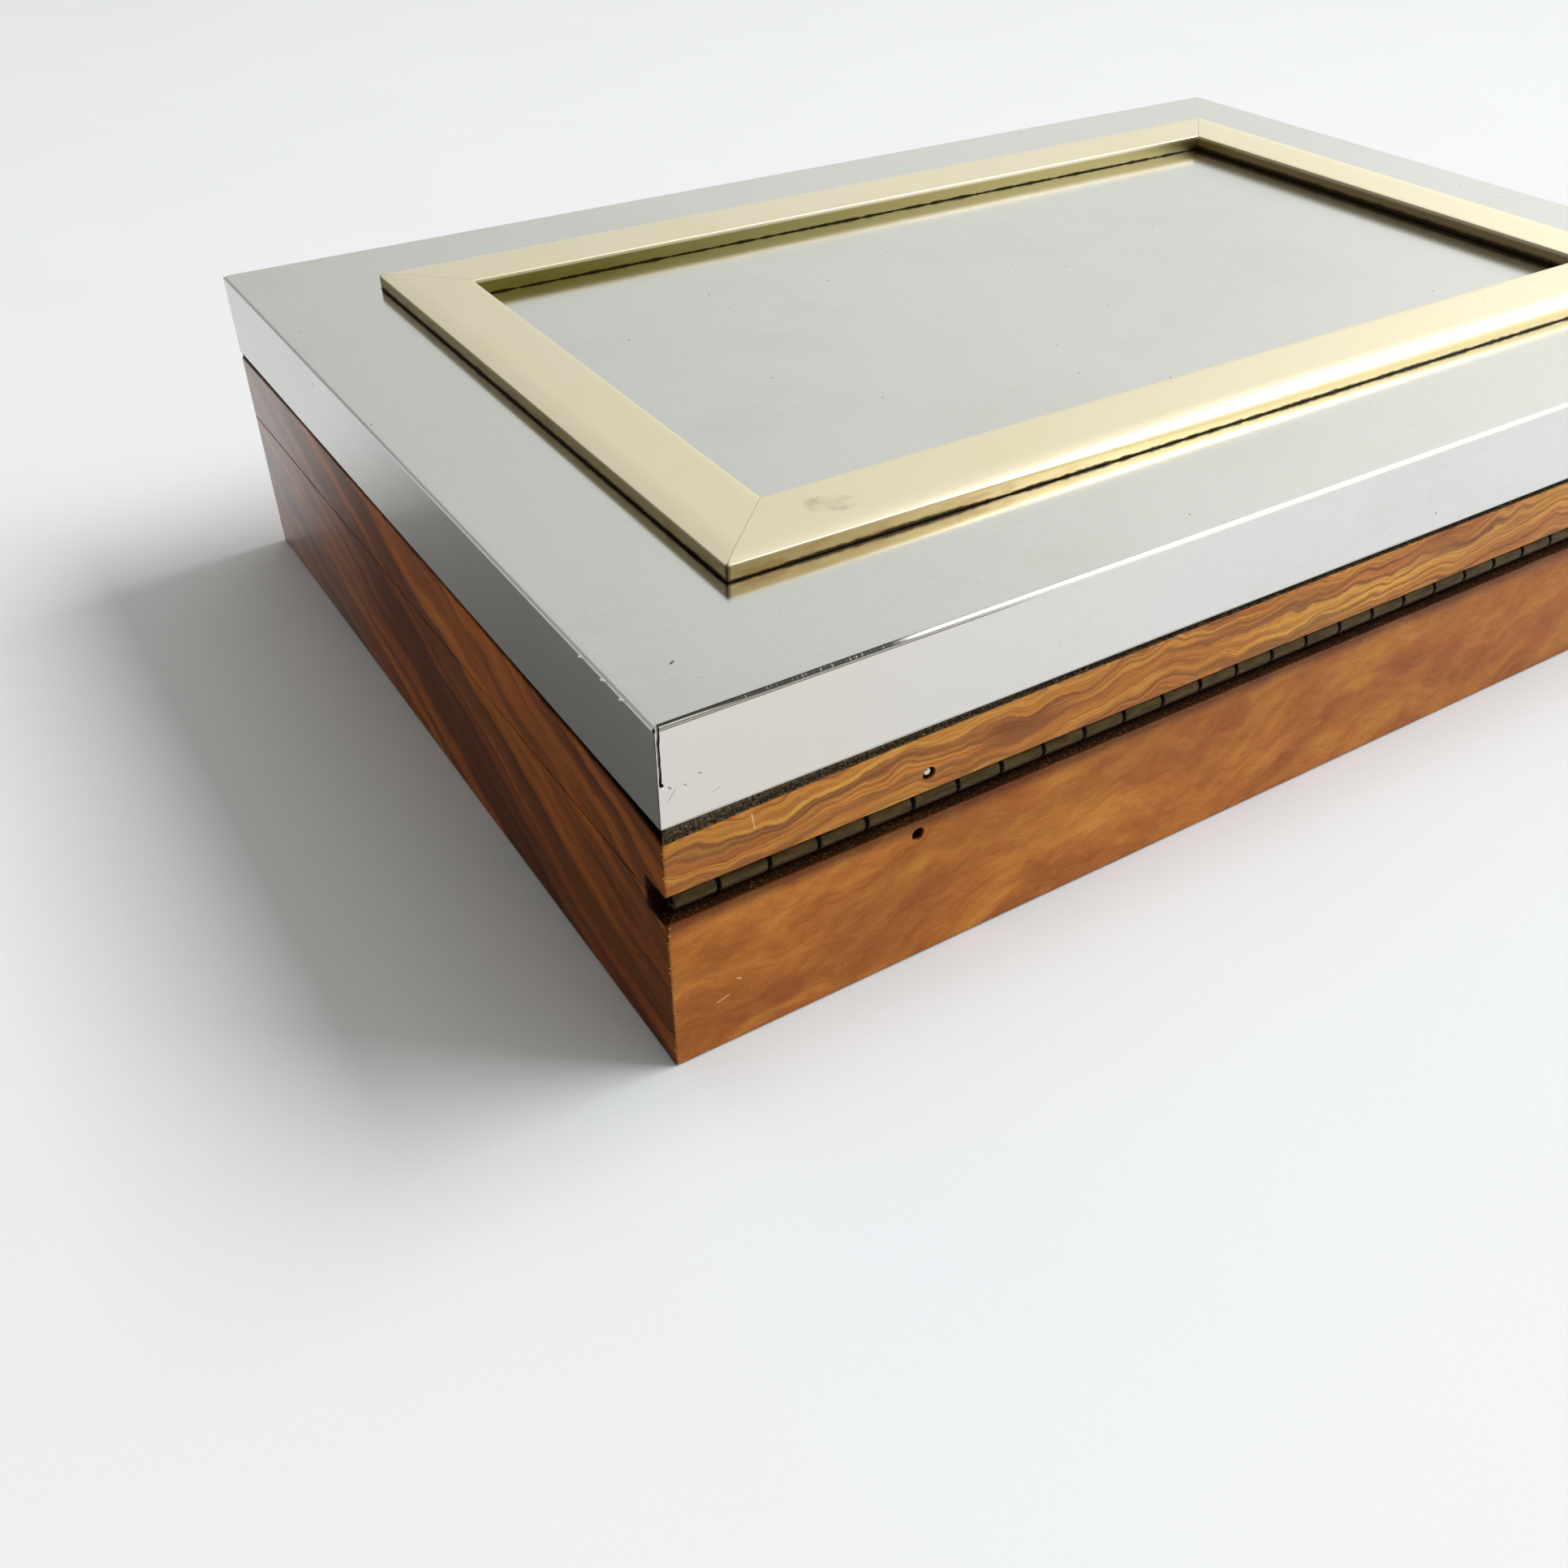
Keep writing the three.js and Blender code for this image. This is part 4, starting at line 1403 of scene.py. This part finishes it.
@dataclass
class BrassFrame:
    """The four mitred bars on the cover, and the screws that hold them from inside the lid."""

    arris: float = 0.16
    foot: float = 0.06  # chamfer of the lower edges
    wear: float = 1.2  # added to the outer edge of the back bar where hands have worn it round
    outer_crown: float = 4.4  # width over which the outer top edge falls away
    outer_fall: float = 0.54
    inner_crown: float = 1.4
    inner_fall: float = 0.1
    corner: float = 0.22
    step: float = 4.0
    cone: float = 1.7  # height of a screw's head
    slot_width: float = 0.9
    slot_depth: float = 0.8
    thread: float = 0.5  # pitch of the screws
    thread_depth: float = 0.22

    def build(self) -> None:
        """Make the bars and the screws."""
        for side in Side:
            half, face = side.reach(PLAN.frame_half_length, PLAN.frame_half_width)
            name = f"frame_{side.label}_bar"
            rings = MitredLength(side, half, face, self.corner).rings(self.bar_section, self.step)
            piece = Draft().skin(rings).make(f"brass_{name}")
            fit(piece, "lid", FRAME_BRASS, [name], crease=50.0)
            for which in (1, 2):
                self._screw(f"frame_screw_{side.label}_{which}")

    def bar_section(self, side: Side, along: float) -> list[Point]:
        """Outline of a bar.

        Args:
            side: The side that it lies on.
            along: Place along it.

        Returns:
            The outline, from the outer foot up and over.
        """
        low, high, width = PLAN.bar_low, PLAN.bar_high, PLAN.bar_width
        fall = self.outer_fall + 0.02 * wobble(along, 30.0, 1.1)
        edge = self.arris
        if side is Side.BACK:
            half = PLAN.frame_half_length
            edge += self.wear * ease(half - along, 12.0, 110.0) * ease(half + along, 3.0, 25.0)
        outline = [(self.foot, low), (0.0, low + self.foot)]
        outline += arc((edge, high - fall - edge), edge, 180, 105, 7)
        start = outline[-1][0]
        shares = (0.12, 0.3, 0.5, 0.7, 0.86, 1.0)
        crown = [self._crown(share, self.outer_crown - start, fall) for share in shares]
        outline += [(start + depth, height) for depth, height in crown]
        inner = [self._crown(share, self.inner_crown, self.inner_fall) for share in (1.0, 0.75, 0.5, 0.3)]
        outline += [(width - depth, height) for depth, height in inner]
        outline += arc((width - self.arris, high - self.inner_fall - self.arris), self.arris, 75, 0, 4)
        return outline + [(width, low + self.foot), (width - self.foot, low)]

    @staticmethod
    def _crown(share: float, width: float, fall: float) -> Point:
        """A point of a top edge that polishing has rounded off."""
        return share * width, PLAN.bar_high - fall * (1 - share) ** 2

    def _screw(self, node: str) -> None:
        """Make a slotted countersunk screw with its head in the underside of the lid board.

        Args:
            node: The screw's node.
        """
        low, high = extent(node)
        middle = (low + high) / 2
        head, length = (high.x - low.x) / 2, high.z - low.z
        shank = head / 2
        profile = [(head * 0.45, 0.05), (head * 0.92, 0.05), (head, 0.12), (head, 0.25), (shank, self.cone)]
        for turn in range(round((length - self.cone - 0.6) / self.thread)):
            base = self.cone + 0.3 + turn * self.thread
            profile += [(shank, base), (shank - self.thread_depth, base + self.thread / 2)]
        profile += [(shank * 0.8, length - 0.2), (shank * 0.6, length)]
        pose = Matrix.Translation((middle.x, middle.y, low.z))
        piece = Draft().skin(turned(profile, pose)).make(f"steel_{node}")
        slot = pose @ Matrix.Rotation(wobble(middle.x, 17.0, middle.y) * math.pi, 4, "Z")
        across, half = head + 1, self.slot_width / 2
        corners = [(-across, -half), (across, -half), (across, half), (-across, half)]
        rings = [[slot @ Vector((x, y, z)) for x, y in corners] for z in (-1.0, self.slot_depth)]
        tool = Draft().skin(rings).make("tool_slot")
        carve(piece, [tool])
        put_away([tool])
        fit(piece, "lid", STEEL, [node])


@dataclass
class PianoHinge:
    """Two leaves with rolled knuckles, their pin, and the brads through the back."""

    end: float = PLAN.hinge_end
    barrel: float = PLAN.barrel
    reach: float = PLAN.leaf_reach
    thickness: float = 0.7
    first_knuckle: float = 6.66  # the strip was cut to length within a knuckle
    pitch: float = 8.04
    knuckle_gap: float = 0.58
    shortest: float = 1.5  # a shorter rest stays part of its neighbour
    strip_start: float = 1.98  # hinge axis to the edge of the flat strip
    tab_start: float = 1.0  # hinge axis to where a knuckle starts to curl
    crest: float = 1.5  # what lies higher on a knuckle keeps its height at the rounded ends
    soft_end: float = 0.16  # rounding of a knuckle's ends
    strip_edge: float = 0.1
    tip_fall: float = 0.75  # length of a brad's rounded end
    tip_turn: float = 9.0  # of a brad about its own axis, in degrees

    def build(self) -> None:
        """Make the leaves, the pin and the brads."""
        spans = self._spans()
        for part, first, up in (("lid", 0, 1), ("base", 1, -1)):
            draft = Draft()
            for span in spans[first::2]:
                draft.skin(self._knuckle(span, up), looped=True)
            leaf = draft.skin(self._strip(up)).make(f"brass_hinge_{part}_leaf")
            fit(leaf, part, AGED_BRASS, [f"hinge_{part}_leaf"], crease=40.0)
            for which in (1, 2):
                self._brad(part, which)
        self._pin()

    def _spans(self) -> list[Point]:
        """Ends of each knuckle along X, from the right end to the left.

        Returns:
            The left and the right end of each.
        """
        cuts = [self.end]
        following = self.end - self.first_knuckle
        while following - self.knuckle_gap - self.shortest > -self.end:
            cuts.append(following)
            following -= self.pitch
        cuts.append(-self.end)
        half = self.knuckle_gap / 2
        spans = []
        for place, (right, left) in enumerate(zip(cuts, cuts[1:])):
            last = place == len(cuts) - 2
            spans.append((left + (0 if last else half), right - (half if place else 0)))
        return spans

    def _knuckle(self, span: Point, up: int) -> list[list[Vector]]:
        """A rolled knuckle with its bore and the tab that joins it to the strip.

        Args:
            span: Its ends along X.
            up: 1 for the lid's leaf and -1 for the base's.

        Returns:
            Rings that close on themselves.
        """
        bore = self.barrel - self.thickness
        meet = 180 - math.degrees(math.acos(bore / self.barrel))
        outline = [(-self.barrel, self.strip_start), (-self.barrel, self.tab_start)]
        outline += arc((0.0, 0.0), self.barrel, 180, 360 + meet, 22)
        outline.append((-bore, self.strip_start))
        hole = arc((0.0, 0.0), bore, 150, 150 + 360 * (1 - 1 / len(outline)), len(outline) - 1)
        shrink = 1 - self.soft_end / self.barrel
        inner = [(y * shrink, z if z > self.crest else z * shrink) for y, z in outline]
        between = [(a + (c - a) * 0.35, b + (d - b) * 0.35) for (a, b), (c, d) in zip(outline, inner)]
        left, right = span
        soft = self.soft_end
        levels = [(left + soft, outline), (left + soft * 0.3, between), (left, inner), (left, hole)]
        levels += [(right, hole), (right, inner), (right - soft * 0.3, between), (right - soft, outline)]
        return [[Vector((x, PLAN.axis_y + y, PLAN.axis_z + up * z)) for y, z in points]
                for x, points in levels]

    def _strip(self, up: int) -> list[list[Vector]]:
        """The flat strip of a leaf, which lies in its saw kerf.

        Args:
            up: 1 for the lid's leaf and -1 for the base's.

        Returns:
            Its rings, from the knuckles outward.
        """
        inner = PLAN.axis_y - self.barrel
        edge = self.strip_edge
        rings = []
        for height, eased in ((self.strip_start, 0.0), (self.reach - edge, 0.0), (self.reach, edge)):
            near, far = inner + eased, inner + self.thickness - eased
            corners = [(-self.end, near), (self.end, near), (self.end, far), (-self.end, far)]
            rings.append([Vector((x, y, PLAN.axis_z + up * height)) for x, y in corners])
        return rings

    @staticmethod
    def _pin() -> None:
        """Make the pin with its rounded ends."""
        low, high = extent("hinge_pin")
        radius, half = (high.z - low.z) / 2, high.x
        tip = [(radius * 0.3, half), (radius * 0.8, half - 0.12), (radius, half - 0.4)]
        profile = [(r, -height) for r, height in tip] + tip[::-1]
        pose = Matrix.Translation((0.0, PLAN.axis_y, PLAN.axis_z)) @ Matrix.Rotation(math.pi / 2, 4, "Y")
        piece = Draft().skin(turned(profile, pose, 16)).make("brass_hinge_pin")
        fit(piece, "base", AGED_BRASS, ["hinge_pin"])

    def _brad(self, part: str, which: int) -> None:
        """Make a brad whose filed end shows in its hole.

        Args:
            part: lid or base.
            which: 1 on the right and 2 on the left.
        """
        node = f"hinge_{part}_brad_{which}"
        low, high = extent(node)
        middle = (low + high) / 2
        radius, length = (high.x - low.x) / 2, high.y - low.y
        profile = [(radius * 0.35, 0.0), (radius * 0.75, 0.5), (radius, 1.2)]
        profile += [(radius * share, length - self.tip_fall * back)
                    for share, back in ((1.0, 1.0), (0.86, 0.55), (0.66, 0.18), (0.42, 0.0))]
        pose = Matrix.Translation((middle.x, low.y, middle.z)) @ Matrix.Rotation(-math.pi / 2, 4, "X")
        pose = pose @ Matrix.Rotation(math.radians(self.tip_turn), 4, "Z")
        piece = Draft().skin(turned(profile, pose, 18)).make(f"steel_{node}")
        fit(piece, part, STEEL if part == "lid" else DARK_STEEL, [node], crease=50.0)


@dataclass
class Studio:
    """The white table top, the window light, the room round it, and the camera."""

    azimuth: float = 147.88017  # of the camera, in degrees
    elevation: float = 38.176215
    roll: float = -0.053721
    camera_place: tuple[float, float, float] = (196.88362, 219.65417, 162.64257)
    focal_pixels: float = 1811.6968
    picture_pixels: float = 1932.0
    sensor: float = 36.0
    nearest: float = 5.0  # distance from which the camera sees
    window_distance: float = 1810.0
    window_sides: tuple[float, float] = (-450.0, 1700.0)  # along Y
    window_heights: tuple[float, float] = (1500.0, 3100.0)
    window_power: float = 115.0
    window_colour: tuple[float, float, float] = (0.985, 0.99, 1.0)
    room_tint: Colour = (0.985, 1.01, 0.965, 1.0)
    dusk_tint: Colour = (1.05, 0.82, 0.4, 1.0)
    table: float = 4000.0  # half of the table top
    table_thickness: float = 20.0
    table_drop: float = 0.02  # underside of the box to the table top

    def build(self) -> None:
        """Make the camera, the light, the room and the table top."""
        self._camera()
        self._window()
        self._room()
        self._table()

    def _camera(self) -> None:
        """Set the camera where the photograph was taken from."""
        turn, lift, roll = (math.radians(angle) for angle in (self.azimuth, self.elevation, self.roll))
        level = Vector((math.cos(turn), math.sin(turn), 0.0))
        back = Vector((math.sin(turn) * math.cos(lift), -math.cos(turn) * math.cos(lift), math.sin(lift)))
        right = level * math.cos(roll) + back.cross(level) * math.sin(roll)
        data = bpy.data.cameras.new("camera")
        data.sensor_width = self.sensor
        data.lens = self.sensor * self.focal_pixels / self.picture_pixels
        data.clip_start = self.nearest * MM
        camera = bpy.data.objects.new("camera", data)
        pose = Matrix((right, back.cross(right), back)).transposed().to_4x4()
        pose.translation = Vector(self.camera_place) * MM
        camera.matrix_world = pose
        bpy.context.scene.collection.objects.link(camera)
        bpy.context.scene.camera = camera

    def _window(self) -> None:
        """Hang the large soft light on the left of the box."""
        data = bpy.data.lights.new("window", "AREA")
        data.shape = "RECTANGLE"
        data.size = (self.window_sides[1] - self.window_sides[0]) * MM
        data.size_y = (self.window_heights[1] - self.window_heights[0]) * MM
        data.energy = self.window_power
        data.color = self.window_colour
        lamp = bpy.data.objects.new("window", data)
        pose = Matrix(((0, 0, -1), (1, 0, 0), (0, -1, 0))).to_4x4()
        middle = (-self.window_distance, sum(self.window_sides) / 2, sum(self.window_heights) / 2)
        pose.translation = Vector(middle) * MM
        lamp.matrix_world = pose
        lamp.visible_camera = False
        bpy.context.scene.collection.objects.link(lamp)

    def _room(self) -> None:
        """Light the room: pale walls in front and on the window's side, dim above and behind the camera."""
        world = bpy.data.worlds.new("room")
        bpy.context.scene.world = world
        world.use_nodes = True
        shader = Shader(world.node_tree)
        x, y, z = shader.parts(shader.add("ShaderNodeTexCoord", {}, {}, "Generated"))
        left = 0.0 - x
        shaded = x.rise(-0.1, 0.4) * (y.rise(-0.5, 0.2) * 0.17 + 0.43)
        walls = 0.64 + left.rise(0.15, 0.7) * 0.19 + left.rise(0.68, 0.88) * 0.2 - shaded
        dusk = y.rise(-0.1, 0.75) * left.fall(0.48, 0.62)
        walls = walls * (1.0 - dusk * 0.66) + y.rise(0.3, 0.6) * left.rise(0.54, 0.66) * 0.5
        walls = walls + left.rise(0.55, 0.75) * z.rise(0.3, 0.48) * 0.12
        walls = walls.most(z.fall(0.26, 0.42) * y.rise(-0.3, 0.2) * 0.42)
        upper = 0.62 - x.rise(-0.05, 0.35) * y.rise(-0.75, -0.35) * 0.52
        level = walls + (upper - walls) * z.rise(0.53, 0.68)
        ceiling = 0.72 - x.rise(0.0, 0.4) * 0.52
        level = level + (ceiling - level) * z.rise(0.7, 0.92)
        warm = dusk * z.rise(0.3, 0.44) * z.fall(0.5, 0.66)
        tint = shader.mix(warm * 0.8, self.room_tint, self.dusk_tint)
        colour = shader.mix(1.0, shader.vector(level, level, level), tint, "MULTIPLY")
        light = shader.add("ShaderNodeBackground", {}, {"Color": colour, "Strength": 1.0})
        shader.add("ShaderNodeOutputWorld", {}, {"Surface": light})

    def _table(self) -> None:
        """Lay the table top just under the box."""
        half = self.table
        rim = ((-half, -half), (half, -half), (half, half), (-half, half))
        heights = (-self.table_drop - self.table_thickness, -self.table_drop)
        table = Draft().skin([[Vector((x, y, z)) for x, y in rim] for z in heights]).make("table_top")
        table.data.materials.append(TABLE_PAPER.material())


# Finishes of this box

LID_WOOD = FiguredWood(
    "oiled_lid_wood", Grain.ALONG_X, paint("E6A848"), paint("CA8434"), paint("A45C24"), paint("6E3820"),
    slope=0.05, swell=36.0, sway=11.0, curl=8.5, ripple=5.0, run=55.0, band=3.0,
    lines=0.62, stripes=0.1, cloud=0.16, sheen=0.16,
    scratches=(Mark((121.7, 41.2), (121.5, 40.0), 0.3), Mark((121.5, 40.0), (121.25, 38.6), 0.2)),
)
BASE_WOOD = FiguredWood(
    "oiled_base_wood", Grain.ALONG_X, paint("CE8736"), paint("B86C29"), paint("A25A1F"), paint("7C3E17"),
    slope=0.1, swell=30.0, sway=15.0, curl=8.0, ripple=6.5, run=16.0, band=5.4,
    lines=0.1, stripes=0.12, cloud=0.52, sheen=0.13,
    scratches=(Mark((127.9, 9.4), (126.0, 9.9), 0.26), Mark((124.6, 12.5), (124.0, 12.2), 0.3)),
)
SHORT_WOOD = FiguredWood(
    "oiled_short_wood", Grain.ALONG_Y, paint("B8691F"), paint("9A4F17"), paint("763A0F"), paint("200E07"),
    slope=0.3, swell=40.0, sway=12.0, curl=15.0, ripple=6.0, run=60.0, band=3.8,
    lines=0.36, stripes=0.6, cloud=0.14, sheen=0.04, far_polish=0.95,
)
INNER_WOOD = PlainBoard("plain_board", paint("C49A66"), paint("95683B"))
COVER_METAL = CoverMetal(
    "polished_sheet", bright=(0.77, 0.76, 0.735, 1.0), back_skirt_shade=(0.75, 0.7, 0.64, 1.0), haze=0.12,
    scars=(
        Mark((133.5, 50.6), (133.2, 50.3), 0.34),
        Mark((129.1, 51.1), (128.9, 51.0), 0.3),
        Mark((131.3, 50.2), (131.1, 50.0), 0.26),
        Mark((133.7, 48.4), (132.6, 50.0), 0.14),
        Mark((127.3, 47.4), (126.2, 47.7), 0.12),
    ),
    pock=Mark((126.5, 80.7), (126.0, 80.35), 0.42),
    scratch=Mark((129.5, 83.6), (124.4, 85.5), 0.5),
    nicks=Cover.nicks,
)
FRAME_BRASS = FrameBrass(
    "polished_brass", bright=(0.955, 0.85, 0.63, 1.0), tarnish=(0.9, 0.78, 0.53, 1.0),
    smudge=Mark((90.4, 60.2), (87.8, 60.8), 6.4),
)
AGED_BRASS = HingeBrass(
    "dull_brass", paint("5C4A2C"), paint("3E311D"), paint("120C07"),
    joint=PianoHinge.end - PianoHinge.first_knuckle, pitch=PianoHinge.pitch,
)
STEEL = OldMetal("bright_steel", paint("D6D3CC"), paint("5A5650"), gloss=0.3, soiled=0.25)
DARK_STEEL = OldMetal("dark_steel", paint("77706A"), paint("1D1A17"), gloss=0.42, soiled=0.75)
TABLE_PAPER = TablePaper("table_paper", (0.86, 0.865, 0.885, 1.0), (0.845, 0.885, 0.925, 1.0))


def main() -> None:
    """Build the box, piece by piece, and the studio round it."""
    logging.basicConfig(level=logging.INFO, format="%(name)s: %(message)s")
    bpy.context.scene.view_settings.view_transform = "Standard"
    for assembly in (Studio(), Timber(), Cover(), BrassFrame(), PianoHinge()):
        LOG.info("building the %s", type(assembly).__name__)
        assembly.build()


if __name__ == "__main__":
    main()
